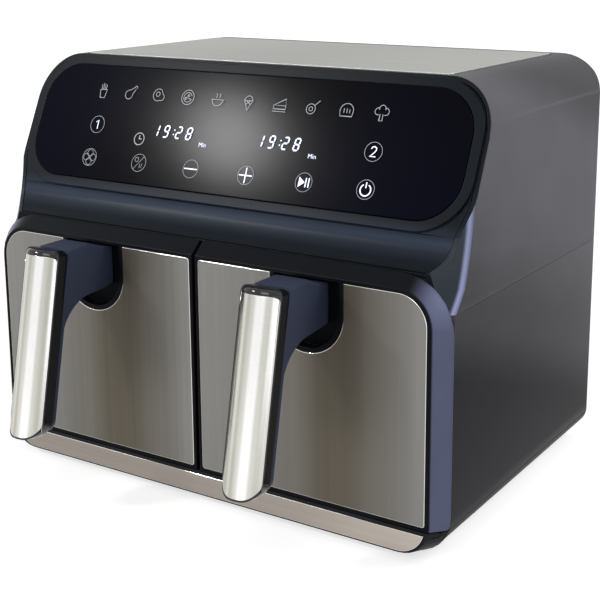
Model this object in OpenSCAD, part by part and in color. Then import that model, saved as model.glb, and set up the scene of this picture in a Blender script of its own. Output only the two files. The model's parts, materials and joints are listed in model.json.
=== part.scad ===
// Free-standing air fryer with two drawers side by side.
// +Z is up, the drawers draw out along -Y, and the origin is on the table under the middle.

/* [Body] */
// Overall width
body_w = 390; // [360:1:430]
// Depth from the drawer faces to the rear cover
body_d = 260; // [250:1:300]
// Overall height with the feet
body_h = 309; // [300:1:335]
// Height of the feet below the base
foot_h = 5; // [3:0.5:10]
// Wall of the moulded shells
wall = 2.5; // [2:0.1:3.5]
// Radius of the upper side edges
top_r = 35; // [24:1:42]
// Radius of the lower side edges
bottom_r = 28; // [16:1:32]
// Radius of the upright rear edges
rear_r = 10; // [5:1:11]
// Height of the joint between the base and the drawers
base_z = 23.6; // [22:0.1:27]
// Height of the joint between the two shells
seam_z = 167; // [150:1:175]
// Clearance between fitted pieces
fit = 0.3; // [0.2:0.05:0.4]

/* [Front] */
// Depth and width of the bevel round the drawer fronts
bevel = 10.8; // [8:0.1:13]
// Height of the top edge of the drawer faces
face_z = 182.5; // [178:0.5:186]
// Rise of the sloping ledge over the drawer faces
ledge_rise = 8.5; // [5:0.5:11]
// Radius of the drawer fronts' upper outer corners at the back of the bevel
shoulder_r = 38; // [30:1:42]
// Black rim round the steel panels
rim = 2.6; // [1.5:0.1:4]
// Gap between the two drawers
drawer_gap = 2.4; // [1.6:0.1:4]
// Lean of the control face from upright
face_lean = 24.6; // [18:0.2:28]
// Distance of the control face's lower edge behind the drawer faces
pod_y = 26; // [22:0.5:30]
// Height of the control face's lower edge
pod_z = 213; // [208:0.5:218]
// Corner radius of the control face
pod_r = 38; // [25:1:42]
// How far the control face stands proud
pod_t = 2; // [1:0.1:3]
// Hollow radius of the band under the control face
cove_r = 32; // [26:1:50]
// Border of the control face round its glass
glass_border = 7.5; // [5:0.5:12]
// Thickness of the control glass
glass_t = 1.5; // [1:0.1:2]
// Distance of each digit display from the middle
digits_x = 46.5; // [40:0.5:60]
// Width of a digit display
digits_w = 48; // [42:1:56]
// Height of a digit display
digits_h = 20; // [16:1:24]
// Height of the display board
board_h = 54; // [48:1:66]
// Distance of the display board from the body's sides
board_end = 30; // [26:1:60]
// Spacing of the touch pads
pad_pitch = 30; // [20:1:32]

/* [Top and trim] */
// Distance of the top plate from the side edges' rounding
plate_gap = 2; // [1:0.5:6]
// Thickness of the top plate
plate_t = 1.2; // [0.8:0.1:2]
// Thickness of the steel panels and of the bottom strip
panel_t = 1; // [0.6:0.1:1.5]
// Lower edge of the bottom strip above the base's underside
strip_low = 1.2; // [0.8:0.1:3]
// Upper edge of the bottom strip below the joint over the base
strip_high = 2.5; // [1.5:0.1:4]

/* [Handles] */
// Radius of the round notch in each steel panel
notch_r = 28.5; // [26:0.5:32]
// Height of the notch's lowest point
notch_z = 129; // [124:1:134]
// Depth of the recess behind the notch
recess_d = 7; // [5:0.5:7.5]
// Width of the arm and of the grip
grip_w = 30; // [26:0.5:34]
// Length of the grip's steel shell
grip_l = 127; // [110:1:132]
// Lean of the grip, foot outward
grip_lean = 11.4; // [6:0.2:14]
// Reach of the grip's upper end in front of the drawer face
grip_out = 50; // [44:0.5:56]
// Bulge of the grip's steel shell
grip_bulge = 8; // [6:0.5:10]
// Depth of the grip's core behind the steel shell
core_d = 11; // [9:0.5:13]
// Thickness of the grip's steel shell
shell_t = 1.2; // [0.8:0.1:2]
// Height of the arm's underside
arm_low = 147; // [142:0.5:152]
// Radius of the arm's round underside
arch_r = 32; // [26:0.5:34]
// Thickness of the arm's spine behind the grip
spine_t = 4; // [2.5:0.25:6]
// Height of the black rim at the grip's foot
foot_rim = 1.2; // [0.8:0.1:2]

/* [Drawers] */
// Gap between a basket and its chamber wall
basket_gap = 4; // [3:0.5:7]
// Height of a basket
basket_h = 118; // [100:1:122]
// Wall of a basket
basket_t = 1.5; // [1.2:0.1:2.5]
// Corner radius of a basket
basket_r = 20; // [12:1:30]
// Height of the crisper plate over the basket's floor
crisper_lift = 12; // [10:1:20]
// Thickness of the crisper plate
crisper_t = 2; // [1.5:0.1:3]
// Diameter of the holes in the crisper plate
crisper_hole = 8; // [5:0.5:10]
// Spacing of the holes in the crisper plate
crisper_pitch = 17; // [14:0.5:24]

/* [Hot air] */
// Sheet thickness of the chambers
sheet = 1; // [0.8:0.1:1.5]
// Height of the chamber floors above the table
chamber_z = 28; // [28:0.5:30]
// Height inside a chamber
chamber_h = 130; // [128:1:132]
// Radius of the air guide over each chamber
guide_r = 74; // [70:1:78]
// Height of the air guides
guide_h = 40; // [36:1:44]
// Diameter of the heater tube
heater_d = 6.5; // [5:0.5:8]
// Gap between the heater and the air guide's wall
heater_gap = 7.5; // [5:0.5:12]
// Gap between the air fan and the heater's legs
fan_gap = 3; // [2.5:0.5:10]
// Height of the air fan
fan_h = 12; // [10:0.5:14]
// Radius of the fans' hubs
hub_r = 7; // [6:0.5:8]
// Number of blades of each fan
blades = 8; // [5:1:12]
// Radius of the cooling fan
cool_r = 34; // [26:1:38]
// Height of the cooling fan
cool_h = 8; // [6:0.5:10]
// Radius of the motor
motor_r = 30; // [26:1:34]
// Height of the motor
motor_h = 36; // [30:1:40]
// Diameter of the motor shaft
shaft_d = 6; // [5:0.5:8]
// Running clearance of the shaft, on the radius
run_gap = 0.08; // [0.05:0.01:0.1]
// Width of the power board
power_w = 92; // [84:1:100]
// Depth of the power board
power_d = 120; // [108:1:130]

/* [Rear] */
// Bore of the cord gland
cord_bore = 8.4; // [6:0.2:10]
// How far the gland stands out of the rear cover
gland_out = 3; // [2:0.5:5]
// Width of each air outlet
outlet_w = 92; // [70:1:110]
// Height of each air outlet
outlet_h = 46; // [36:1:52]
// Distance of the air outlets below the top
outlet_low = 24; // [20:1:40]
// Number of slats in each outlet
slats = 6; // [4:1:8]

/* [Hidden] */
$fn = 64;

// Widths and heights that follow from the sizes above
half_w = body_w / 2;
shell_top = body_h - 0.8;
handle_reach = grip_out + grip_l * sin(grip_lean) + grip_bulge * cos(grip_lean);
front_y = (handle_reach - body_d - gland_out) / 2;
far = 600;
face_len = (shell_top - 1 - pod_z) / cos(face_lean);

// Drawer front: its face, its back and its outline
drawer_z = base_z + 2 * fit;
ledge_z = face_z + ledge_rise;
face_half = half_w - bevel;
bay_x = (drawer_gap / 2 + face_half) / 2;
shell_y = bevel + fit;
lip = 0.6;
arm_half = grip_w / 2 - 1;
cap_h = 4;
arch_z = arm_low - arch_r;
grip_top = face_z - 1.5;
moulding = 2.5;
head_h = 2.1;

// Chamber, basket and their neck
chamber_half = bay_x - 7;
frame_t = 3;
chamber_y0 = shell_y + fit + frame_t;
chamber_y1 = body_d - 28;
chamber_top = chamber_z + chamber_h;
basket_half = chamber_half - sheet - basket_gap;
basket_z = chamber_z + sheet + 3;
neck_y = chamber_y0 + 3;
basket_y0 = neck_y;
basket_y1 = chamber_y1 - sheet - 6;
rib_h = basket_z - chamber_z - sheet - fit;
basket_top = basket_z + basket_h;
crisper_z = basket_z + basket_t + crisper_lift;

// Fans, deck and motors
fan_y = (chamber_y0 + chamber_y1) / 2;
deck_z = chamber_top + guide_h;
deck_t = 1.5;
motor_z = deck_z + deck_t;
heater_z = chamber_top + 6;
fan_z = heater_z + heater_d + 4;
heater_r = guide_r - sheet - heater_gap - heater_d / 2;
fan_r = heater_r - heater_d / 2 - fan_gap;
cool_z = motor_z + motor_h + 4;
shaft_top = cool_z + cool_h + 4;

// Rear cover
cover_in = 12;
cover_t = 2.5;
outlet_z = shell_top - outlet_low - outlet_h / 2;
gland_x = half_w - 60;
gland_z = seam_z + 24;

// Height of the body's slanted front corners: distance of the corner plane behind the
// drawer faces where it meets the side, over the joint, along the waist and up the face
shoulder = [
    [seam_z - 3, bevel], [seam_z + 2, bevel + 4.5], [seam_z + 8, bevel + 9.8],
    [seam_z + 14, bevel + 14.5], [ledge_z, bevel + 18], [ledge_z + 13, bevel + 21.6],
    [pod_z + 3, bevel + 24], [pod_z + 16, bevel + 25.6], [pod_z + 28, face_y(pod_z + 28) + 1.6],
    [body_h + 1, face_y(body_h + 1) + 1.2]
];

// Distance behind the drawer faces of the spine's back at height z
function spine_y(z) =
    (core_d + spine_t) / cos(grip_lean) - grip_out - (grip_top - z) * tan(grip_lean);
// Distance behind the drawer faces of the control face at height z
function face_y(z) = pod_y + (z - pod_z) * tan(face_lean);
// Centre of an arc of radius r that bends from point a to point b
function arc_centre(a, b, r) =
    let (m = (a + b) / 2, d = (b - a) / 2, h = norm(d))
    m + [-d[1], d[0]] / h * sqrt(r * r - h * h);

// Extrudes an upright outline, drawn in X and Z, from y0 to y1
module slab(y0, y1) translate([0, y1, 0]) rotate([90, 0, 0]) linear_extrude(y1 - y0) children();
// Extrudes a side profile, drawn in Y and Z, from x0 to x1
module across(x0, x1) translate([x0, 0, 0]) rotate([90, 0, 90]) linear_extrude(x1 - x0) children();
// Box from its low corner to its high corner
module block(a, b) translate(a) cube(b - a);
// Rod along Z from z0 to z1
module rod(r, z0, z1) translate([0, 0, z0]) cylinder(r = r, h = z1 - z0);
// Moves what is drawn from the drawer faces into the part's own frame
module placed(c) color(c) translate([0, front_y, 0]) children();
// Draws the right side, or its mirror image for the left side
module side(s) mirror([s < 0 ? 1 : 0, 0, 0]) children();
// Draws on both sides
module both() for (s = [-1, 1]) side(s) children();
// Stands on the control face: X across, Y up the face, Z out of it
module on_face() translate([0, pod_y, pod_z]) rotate([90 - face_lean, 0, 0]) children();
// Stands at the top of a grip: Z up along it, -Y out of it
module on_grip() translate([bay_x, -grip_out, grip_top]) rotate([-grip_lean, 0, 0]) children();

// Rectangle with its own corner radius below and above
module rounded(x0, x1, z0, z1, rb, rt) {
    translate([x0, z0 + rb]) square([x1 - x0, z1 - z0 - rb - rt]);
    translate([x0 + rb, z0]) square([x1 - x0 - 2 * rb, rb + 0.01]);
    translate([x0 + rt, z1 - rt - 0.01]) square([x1 - x0 - 2 * rt, rt + 0.01]);
    for (x = [x0 + rb, x1 - rb]) translate([x, z0 + rb]) circle(rb);
    for (x = [x0 + rt, x1 - rt]) translate([x, z1 - rt]) circle(rt);
}

// Front view of the body, moved in by d
module body_outline(d = 0) {
    low = foot_h + d;
    rounded(-half_w + d, half_w - d, low, shell_top - d, bottom_r - d / 2, top_r - d);
}

// Plan of the body with its rounded rear edges, moved in by d
module body_plan(d = 0) {
    r = rear_r - d / 2;
    y1 = body_d - d;
    translate([-half_w, -1]) square([body_w, y1 - r + 1]);
    translate([-half_w + r + d, 0]) square([body_w - 2 * r - 2 * d, y1]);
    both() translate([half_w - d - r, y1 - r]) circle(r);
}

// Everything behind the ledge, the hollow band and the control face, moved back by d
module front_profile(d = 0) {
    back = pod_t * cos(face_lean);
    a = [shell_y + d, ledge_z];
    b = [pod_y + back + d, pod_z - pod_t * sin(face_lean)];
    top = body_h + 5;
    difference() {
        polygon([
            [shell_y + d, -5], a, b, [b[0] + (top - b[1]) * tan(face_lean), top],
            [far, top], [far, -5]
        ]);
        translate(arc_centre(a, b, cove_r)) circle(cove_r);
    }
}

// Everything inside the slanted front corner on one side, moved in by d
module shoulder_side(d = 0)
    rotate([0, 0, 45]) across(-far, far) polygon(concat(
        [for (p = shoulder) [(p[1] - half_w) / sqrt(2) + d, p[0]]],
        [[far, body_h + 1], [far, -5], [(bevel - half_w) / sqrt(2) + d, -5]]
    ));

// The whole body behind the drawer fronts as one block, moved in by d
module body_block(d = 0) intersection() {
    slab(shell_y, body_d) body_outline(d);
    linear_extrude(far) body_plan(d);
    across(-far, far) front_profile(d * 1.1);
    shoulder_side(d);
    mirror([1, 0, 0]) shoulder_side(d);
}

// Room inside the shells, moved in by d: under the ledge it runs out at the front
module inside(d) intersection() {
    slab(-1, body_d - d) body_outline(d);
    linear_extrude(far) body_plan(d);
    shoulder_side(d);
    mirror([1, 0, 0]) shoulder_side(d);
    union() {
        across(-far, far) front_profile(d * 1.1);
        storey(0, ledge_z - d);
    }
}

// Block between two heights
module storey(z0, z1) translate([-far / 2, -far / 2, z0]) cube([far, far * 2, z1 - z0]);

// Bevelled block of the drawer fronts and the base, before they are parted
module bevel_block() hull() {
    $fn = 32;
    slab(0, lip) rounded(-face_half, face_half, foot_h + lip, face_z, bottom_r * 0.75, 24);
    slab(bevel - lip, bevel) rounded(-half_w, half_w, foot_h, ledge_z, bottom_r, shoulder_r);
}

// Round-cornered opening of one bay, grown by d
module bay_opening(d = 0)
    translate([bay_x, 0]) rounded(
        -chamber_half + sheet - d, chamber_half - sheet + d,
        chamber_z + sheet - d, chamber_top - sheet - 1 + d, 6, 6
    );

// Outline of the recess behind the handle, moved in by d
module notch(d = 0) {
    r = notch_r - d;
    translate([bay_x, notch_z + notch_r]) circle(r);
    translate([bay_x - r, notch_z + notch_r]) square([2 * r, far]);
}

// Outline of a steel panel, moved in by d
module panel_outline(d = 0) {
    x0 = drawer_gap / 2 + rim + d;
    x1 = face_half - rim - d;
    z0 = drawer_z + rim + d;
    z1 = face_z - rim - d;
    rounded(x0, x1, z0, z1, 2, 2.5);
}

// Rounds the upper outer corner of what lies in a panel's frame
module panel_corner(d = 0) {
    r = 21 - d;
    x1 = face_half - rim - d;
    z1 = face_z - rim - d;
    difference() {
        translate([x1 - r, z1 - r]) square(r + 1);
        translate([x1 - r, z1 - r]) circle(r);
    }
}

// ---- Housing ----

module base_tray() placed("#17181b") difference() {
    union() {
        intersection() {
            bevel_block();
            storey(0, base_z);
        }
        intersection() {
            slab(bevel, body_d) body_outline();
            linear_extrude(far) body_plan();
            storey(0, base_z);
        }
    }
    difference() {
        intersection() {
            slab(moulding + 4, body_d - wall) body_outline(wall);
            linear_extrude(far) body_plan(wall);
            storey(foot_h + wall, base_z + 1);
        }
        base_places() rod(5.5, 0, base_z);
    }
    slab(-1, panel_t) strip_outline(-fit);
    foot_places() rod(3, 0, foot_h + wall + 1);
    base_places() rod(1.8, 0, far);
    base_places() rod(4, 0, base_head_z);
    for (x = [-bay_x, bay_x], i = [-4:4])
        block([x + i * 12 - 2, fan_y - 40, 0], [x + i * 12 + 2, fan_y + 40, foot_h + wall + 1]);
}

// Front view of the bottom strip, moved in by d
module strip_outline(d = 0) intersection() {
    rounded(
        -face_half + rim + d, face_half - rim - d, foot_h + strip_low + d, face_z,
        bottom_r * 0.72, 10
    );
    translate([-far / 2, 0]) square([far, base_z - strip_high - d]);
}

// Places of the four feet
module foot_places()
    for (x = [-half_w + 50, half_w - 50], y = [32, body_d - 32]) translate([x, y, 0]) children();

module rubber_feet() placed("#101010") foot_places() {
    rod(10, 0, foot_h);
    rod(3 - fit, foot_h, foot_h + wall + 0.5);
    rod(4.5, foot_h + wall + fit, foot_h + wall + 2);
}

module bottom_trim_strip() placed("#a8a49c") slab(0, panel_t) strip_outline();

// Rear view of the cover, moved in by d
module cover_outline(d = 0) rounded(
    -half_w + cover_in + d, half_w - cover_in - d, seam_z + 6 + d, shell_top - cover_in - d,
    6, top_r - cover_in
);

// Both shells before they are parted at the joint
module shell_block() difference() {
    body_block();
    inside(wall);
}

// Places of the screws that hold the base to the lower shell
module base_places()
    for (x = [-half_w + 11, half_w - 11], y = [64, body_d - 64]) translate([x, y, 0]) children();

module lower_shell() placed("#1b1c1f") {
    intersection() {
        shell_block();
        storey(base_z, seam_z);
    }
    // Screw bosses
    intersection() {
        difference() {
            base_places() union() {
                rod(4.5, base_z, base_z + 14);
                block([-12, -2, base_z], [12, 2, base_z + 14]);
            }
            base_places() rod(1.5, 0, base_z + 12);
            both() block([0, 0, 0], [half_w - 16, body_d, far]);
        }
        body_block(wall / 2);
    }
}

module upper_shell() placed("#3c3e43") {
    difference() {
        intersection() {
            shell_block();
            storey(seam_z, body_h);
        }
        fascia_space(0);
        translate([0, 0, shell_top - plate_t]) linear_extrude(far) plate_outline(-0.8);
        slab(body_d - cover_t, body_d + 1) cover_outline();
    }
    // Seat of the rear cover
    difference() {
        slab(body_d - cover_t - wall, body_d - cover_t) difference() {
            cover_outline(-3);
            cover_outline(6);
        }
        cover_places() rotate([90, 0, 0]) rod(1.5, -body_d - 1, 0);
    }
    // Ledge under the plate's recess
    intersection() {
        translate([0, 0, shell_top - wall - 1]) linear_extrude(wall + 1 - plate_t) difference() {
            plate_outline(-3);
            plate_outline(12);
        }
        body_block(1);
    }
    // Rails that carry the motor deck
    both() block([half_w - 9, 70, deck_z - 4], [half_w - wall / 2, body_d - 40, deck_z]);
}

// Room for the fascia in the upper shell's front, grown by d
module fascia_space(d) difference() {
    intersection() {
        slab(0, body_d) rounded(
            -half_w + wall + 1 - d, half_w - wall - 1 + d, ledge_z - d, shell_top - 4 + d,
            4, top_r - 6
        );
        across(-far, far) difference() {
            front_profile();
            front_profile(24);
        }
        shoulder_side(wall - d);
        mirror([1, 0, 0]) shoulder_side(wall - d);
    }
    storey(0, ledge_z - d);
}

// Plan of the top plate, moved in by d
module plate_outline(d = 0) {
    x = half_w - top_r - plate_gap - d;
    y0 = face_y(shell_top) + 4 + d;
    y1 = body_d - 15 - d;
    rounded(-x, x, y0, y1, 5, 5);
}

module top_plate() placed("#b3aea6")
    translate([0, 0, shell_top - plate_t]) linear_extrude(plate_t + body_h - shell_top) plate_outline();

module front_fascia() placed("#262b33") difference() {
    union() {
        difference() {
            intersection() {
                body_block();
                fascia_space(-fit);
            }
            body_block(3);
        }
        // Flange over the bays
        intersection() {
            block([-face_half + 4, shell_y + 1, ledge_z + fit], [face_half - 4, 34, ledge_z + 3]);
            body_block();
            shoulder_side(wall + fit);
            mirror([1, 0, 0]) shoulder_side(wall + fit);
        }
        // Raised face
        on_face() translate([0, 0, -pod_t + 0.02]) linear_extrude(pod_t - 0.02) pod_outline();
        on_face() translate([0, 0, -pod_t - 1]) linear_extrude(pod_t + 1) intersection() {
            pod_outline();
            rounded(
                -face_half + 1, face_half - 1, 0, (shell_top - 6 - pod_z) / cos(face_lean),
                1, top_r + 2
            );
        }
        // Posts of the display board
        on_face() board_posts() rod(3.5, -pod_t - 8, -pod_t);
    }
    on_face() translate([0, 0, fit - glass_t]) linear_extrude(far) pod_outline(glass_border - fit);
    both() on_face() display_place() translate([-digits_w / 2 - 2, -digits_h / 2 - 2, -20]) cube([digits_w + 4, digits_h + 4, 40]);
}

// Front view of the control face, moved in by d
module pod_outline(d = 0) {
    x = half_w - 3.4 - d;
    r = max(6, pod_r - d);
    rounded(-x, x, d, face_len - d, r, r);
}

module control_glass() placed("#0b0c12")
    on_face() translate([0, 0, fit - glass_t]) linear_extrude(glass_t) pod_outline(glass_border);

// Where a digit display stands, and where the board's posts stand
module display_place() translate([digits_x, face_len / 2, 0]) children();
module board_posts()
    for (x = [-1, 0, 1], y = [8 - board_h / 2, board_h / 2 - 8])
        translate([x * (half_w - board_end - 15), face_len / 2 + y, 0]) children();

module display_board() placed("#1f5a33") on_face() {
    difference() {
        translate([-half_w + board_end, (face_len - board_h) / 2, -pod_t - 9.6])
            cube([2 * (half_w - board_end), board_h, 1.6]);
        board_posts() rod(1.2, -pod_t - 12, 0);
    }
    // Sprung touch pads under the glass
    for (i = [0:9]) translate([(i - 4.5) * pad_pitch, face_len / 2 - digits_h / 2 - 5, 0])
        rod(2.5, -pod_t - 8, -pod_t - 3.4);
}

module digit_displays() placed("#e9eef6")
    both() on_face() display_place() translate([-digits_w / 2, -digits_h / 2, -pod_t - 8])
        cube([digits_w, digits_h, pod_t + 8 - 1.4]);

// Places of the rear cover's screws, as X and Z
module cover_places() {
    both() translate([half_w - cover_in - 3, 0, seam_z + 30]) children();
    both() translate([half_w - cover_in - 3, 0, shell_top - 46]) children();
    both() translate([30, 0, shell_top - cover_in - 3]) children();
}

module rear_cover() placed("#1d1e21") difference() {
    slab(body_d - cover_t, body_d) cover_outline(fit);
    both() slab(0, far) outlet_opening(0);
    translate([gland_x, 0, gland_z]) rotate([90, 0, 0]) rod(cord_bore / 2 + 3, -far, 0);
    cover_places() rotate([90, 0, 0]) rod(1.8, -far, 0);
    // Slots that let cooling air in
    for (i = [-6:6]) slab(0, far) translate([i * 12 - 2.5, seam_z + 14])
        square([5, outlet_z - outlet_h / 2 - seam_z - 24]);
}

module outlet_opening(d)
    translate([bay_x, outlet_z]) rounded(
        -outlet_w / 2 + d, outlet_w / 2 - d, -outlet_h / 2 + d, outlet_h / 2 - d, 4, 4
    );

module outlet_grilles() placed("#141416") both() {
    difference() {
        slab(body_d - cover_t - 2, body_d) outlet_opening(fit);
        slab(body_d - 10, body_d + 1) outlet_opening(3);
    }
    pitch = (outlet_h - 6) / slats;
    for (i = [0:slats - 1]) slab(body_d - cover_t - 1, body_d - 0.5)
        translate([bay_x - outlet_w / 2 + 2, outlet_z - outlet_h / 2 + 3 + (i + 0.3) * pitch])
            square([outlet_w - 4, 2]);
}

module cord_gland() placed("#121212")
    translate([gland_x, 0, gland_z]) rotate([90, 0, 0]) difference() {
        union() {
            rod(cord_bore / 2 + 3 - fit, -body_d - gland_out, -body_d + cover_t + 3);
            rod(cord_bore / 2 + 5, -body_d - gland_out, -body_d - fit / 2);
            rod(cord_bore / 2 + 5, -body_d + cover_t + fit / 2, -body_d + cover_t + 3);
        }
        rod(cord_bore / 2, -body_d - far, far);
    }

module bay_frame() placed("#141518") difference() {
    intersection() {
        slab(shell_y + fit, chamber_y0) translate([-half_w, base_z + fit])
            square([body_w, ledge_z - wall - base_z - 2 * fit]);
        inside(wall + fit);
    }
    both() slab(0, far) bay_opening();
}

module centre_divider() placed("#202226") {
    block([-3, chamber_y0, chamber_z], [3, chamber_y1, chamber_top]);
    block([-6, chamber_y0, foot_h + wall], [6, chamber_y1, chamber_z]);
}

module motor_deck() placed("#8e9194") difference() {
    intersection() {
        block([-half_w + 4, 52, deck_z], [half_w - 4, body_d - 24, deck_z + deck_t]);
        body_block(wall + 1);
    }
    both() translate([bay_x, fan_y, 0]) {
        rod(shaft_d / 2 + 2, 0, far);
        motor_holes() rod(1.6, 0, far);
        rotate(260) heater_legs() rod(heater_d / 2 + 0.4, 0, far);
    }
}

module motor_holes() for (a = [45:90:315]) rotate(a) translate([motor_r + 5, 0, 0]) children();

board_y = fan_y - 30;
board_z = deck_z + deck_t + 8;
module power_board() placed("#1f5a33") {
    difference() {
        block([-power_w / 2, board_y, board_z], [power_w / 2, board_y + power_d, board_z + 1.6]);
        board_corners() rod(1.2, 0, far);
    }
}
module board_corners()
    for (x = [-1, 1], y = [6, power_d - 6])
        translate([x * (power_w / 2 - 6), board_y + y, 0]) children();

module board_parts() placed("#2d3036") {
    // Standoffs, transformer, relays and capacitors
    board_corners() rod(3, deck_z + deck_t, board_z);
    top = board_z + 1.6;
    block([-36, board_y + 16, top], [-4, board_y + 46, top + 26]);
    for (i = [0:2]) block([8 + i * 11, board_y + 16, top], [16 + i * 11, board_y + 42, top + 16]);
    for (i = [0:2]) translate([-28 + i * 16, board_y + 70, 0]) rod(6, top, top + 20);
    block([20, board_y + 60, top], [40, board_y + 100, top + 10]);
}

// Places on the air guides' rims
module guide_place(a) translate([bay_x, fan_y, 0]) rotate(a) translate([guide_r, 0, 0]) children();

module temperature_sensors() placed("#c9ccd0") both() guide_place(150)
    translate([0, 0, chamber_top + guide_h / 2]) rotate([0, 90, 0]) {
        rod(2, -12, 6);
        rod(4, fit, 6);
    }

module thermal_fuses() placed("#e8e4da") both() guide_place(205)
    translate([fit, -7, chamber_top + guide_h / 2]) cube([6, 14, 8]);

module door_switches() placed("#2a2c30") both()
    translate([0, chamber_y0, chamber_top - 6]) {
        block([bay_x + chamber_half + 1, 0, 0], [bay_x + chamber_half + 8, 12, 20]);
        block([bay_x + chamber_half + 3, 12, 4], [bay_x + chamber_half + 6, 18, 6]);
        block([bay_x + chamber_half + 3, 12, 14], [bay_x + chamber_half + 6, 18, 16]);
    }

// A run of wire: straight rods whose ends run into each other
module wire(points, r) {
    for (i = [0:len(points) - 2]) {
        d = points[i + 1] - points[i];
        translate(points[i]) rotate([0, acos(d[2] / norm(d)), atan2(d[1], d[0])])
            translate([0, 0, -r / 2]) cylinder(r = r, h = norm(d) + r, $fn = 8);
    }
}

module wiring_harness() placed("#d8d2c4") {
    top = board_z + 1.6;
    plug = [power_w / 2 - 4, board_y + power_d - 12, top];
    both() wire([
        plug + [0, 0, 1.5], plug + [6, 0, 9], [bay_x - motor_r - 8, fan_y + 50, top + 8],
        [bay_x - motor_r * 0.72, fan_y + motor_r * 0.72 + 1, motor_z + motor_h - 8]
    ], 1.5);
    // Flat lead to the display board
    on_face() translate([-14, face_len / 2 - 6, -pod_t - 13]) cube([28, 12, 3.4]);
    z0 = pod_z + face_len / 2 * cos(face_lean);
    y0 = face_y(z0);
    wire([
        [0, y0 + 12, z0 - 5.5], [0, y0 + 24, z0 - 24], [0, board_y - 6, top + 6],
        [0, board_y + 4, top + 1.5]
    ], 1.5);
}

// A pan-head screw with its head at z = 0, running down
module screw(r, l) {
    rod(r * 2, 0, r * 1.4);
    rod(r, -l, 0);
}

// Height of the heads of the screws in the base
base_head_z = foot_h + 10;
module housing_screws() placed("#9a9da1") {
    cover_places() translate([0, body_d, 0]) rotate([-90, 0, 0]) screw(1.5, 8);
    base_places() translate([0, 0, base_head_z]) mirror([0, 0, 1]) screw(1.5, 16);
}

module motor_screws() placed("#9a9da1") both() translate([bay_x, fan_y, motor_z + 2])
    motor_holes() screw(1.5, 2 + deck_t);

// ---- Hot air ----

module chamber(s) placed("#a9abac") side(s) {
    x = chamber_half;
    difference() {
        block([bay_x - x, chamber_y0, chamber_z], [bay_x + x, chamber_y1, chamber_top]);
        block(
            [bay_x - x + sheet, chamber_y0 - 1, chamber_z + sheet],
            [bay_x + x - sheet, chamber_y1 - sheet, chamber_top - sheet]
        );
        translate([bay_x, fan_y, 0]) rod(guide_r - sheet - 2, chamber_top - 5, far);
    }
    // Ribs that the basket slides on
    for (k = [-1, 1]) block(
        [bay_x + k * (x - 24) - 2, chamber_y0 + 2, chamber_z + sheet],
        [bay_x + k * (x - 24) + 2, chamber_y1 - sheet, chamber_z + sheet + rib_h]
    );
    // Stands on the base tray
    for (k = [-1, 1], y = [chamber_y0 + 34, chamber_y1 - 50]) block(
        [bay_x + k * (x - 30) - 6, y, foot_h + wall], [bay_x + k * (x - 30) + 6, y + 10, chamber_z]
    );
}

module air_guide(s) placed("#9c9ea0") side(s) translate([bay_x, fan_y, 0]) difference() {
    union() {
        rod(guide_r, chamber_top, deck_z);
        rod(guide_r + 4, chamber_top, chamber_top + sheet);
    }
    rod(guide_r - sheet, chamber_top - 1, deck_z - sheet);
    rod(shaft_d / 2 + 2, 0, far);
    rotate(150) translate([guide_r - 6, 0, chamber_top + guide_h / 2]) rotate([0, 90, 0])
        rod(2.2, 0, 12);
    rotate(260) heater_legs() rod(heater_d / 2 + 0.4, 0, far);
}

module heater_legs() for (x = [-9, 9]) translate([heater_r, x, 0]) children();

module heater(s) placed("#4a4644") side(s) translate([bay_x, fan_y, 0]) {
    for (r = [heater_r, heater_r - 14])
        translate([0, 0, heater_z]) rotate_extrude() translate([r, 0]) circle(d = heater_d, $fn = 32);
    rotate(260) heater_legs() rod(heater_d / 2, heater_z, deck_z + deck_t + 8);
    for (a = [0:120:240]) rotate(a + 20)
        block([heater_r - 16, -3, heater_z - 1], [guide_r - sheet - fit, 3, heater_z + 1]);
}

module heater_guard(s) placed("#b9bbbd") side(s) translate([bay_x, fan_y, chamber_top]) {
    z = -2;
    for (r = [18, 34, 50, 64])
        translate([0, 0, z]) rotate_extrude() translate([r, 0]) circle(r = 1, $fn = 16);
    difference() {
        rod(guide_r + 2 - sheet - 2, z - 1, z + 1);
        rod(guide_r - sheet - 4, -far, far);
    }
    for (a = [0, 60, 120]) rotate(a) translate([0, 0, z]) rotate([0, 90, 0]) rod(1, -guide_r + 4, guide_r - 4);
    // Ears that hang on the chamber's top
    for (a = [30:120:270]) rotate(a) block([guide_r - 6, -4, z], [guide_r - sheet - 2 - fit, 4, 1]);
}

module motor(s) placed("#7d8084") side(s) translate([bay_x, fan_y, 0]) difference() {
    union() {
        rod(motor_r, motor_z, motor_z + motor_h);
        rod(8, motor_z + motor_h, motor_z + motor_h + 2);
        for (a = [45:90:315]) rotate(a)
            block([motor_r - 4, -4, motor_z], [motor_r + 10, 4, motor_z + 2]);
    }
    rod(shaft_d / 2 + run_gap, 0, far);
    motor_holes() rod(1.6, 0, far);
}

module fan_shaft(s) placed("#d0d2d4") side(s) translate([bay_x, fan_y, 0])
    rod(shaft_d / 2, fan_z - 2, shaft_top);

// Blades round a hub, leaning by tilt
module fan_blades(n, r0, r1, z0, z1, tilt)
    for (i = [0:n - 1]) rotate(i * 360 / n) translate([r0, 0, (z0 + z1) / 2]) rotate([tilt, 0, 0])
        translate([0, -0.6, -(z1 - z0) / 2]) cube([r1 - r0, 1.2, z1 - z0]);

module convection_fan(s) placed("#b4b6b8") side(s) translate([bay_x, fan_y, 0]) difference() {
    union() {
        rod(hub_r, fan_z, fan_z + fan_h);
        rod(fan_r - 6, fan_z + fan_h - 2, fan_z + fan_h - 0.8);
        fan_blades(blades, 2 * hub_r, fan_r, fan_z - 1, fan_z + fan_h - 1, 0);
    }
    rod(shaft_d / 2, 0, far);
}

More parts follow.
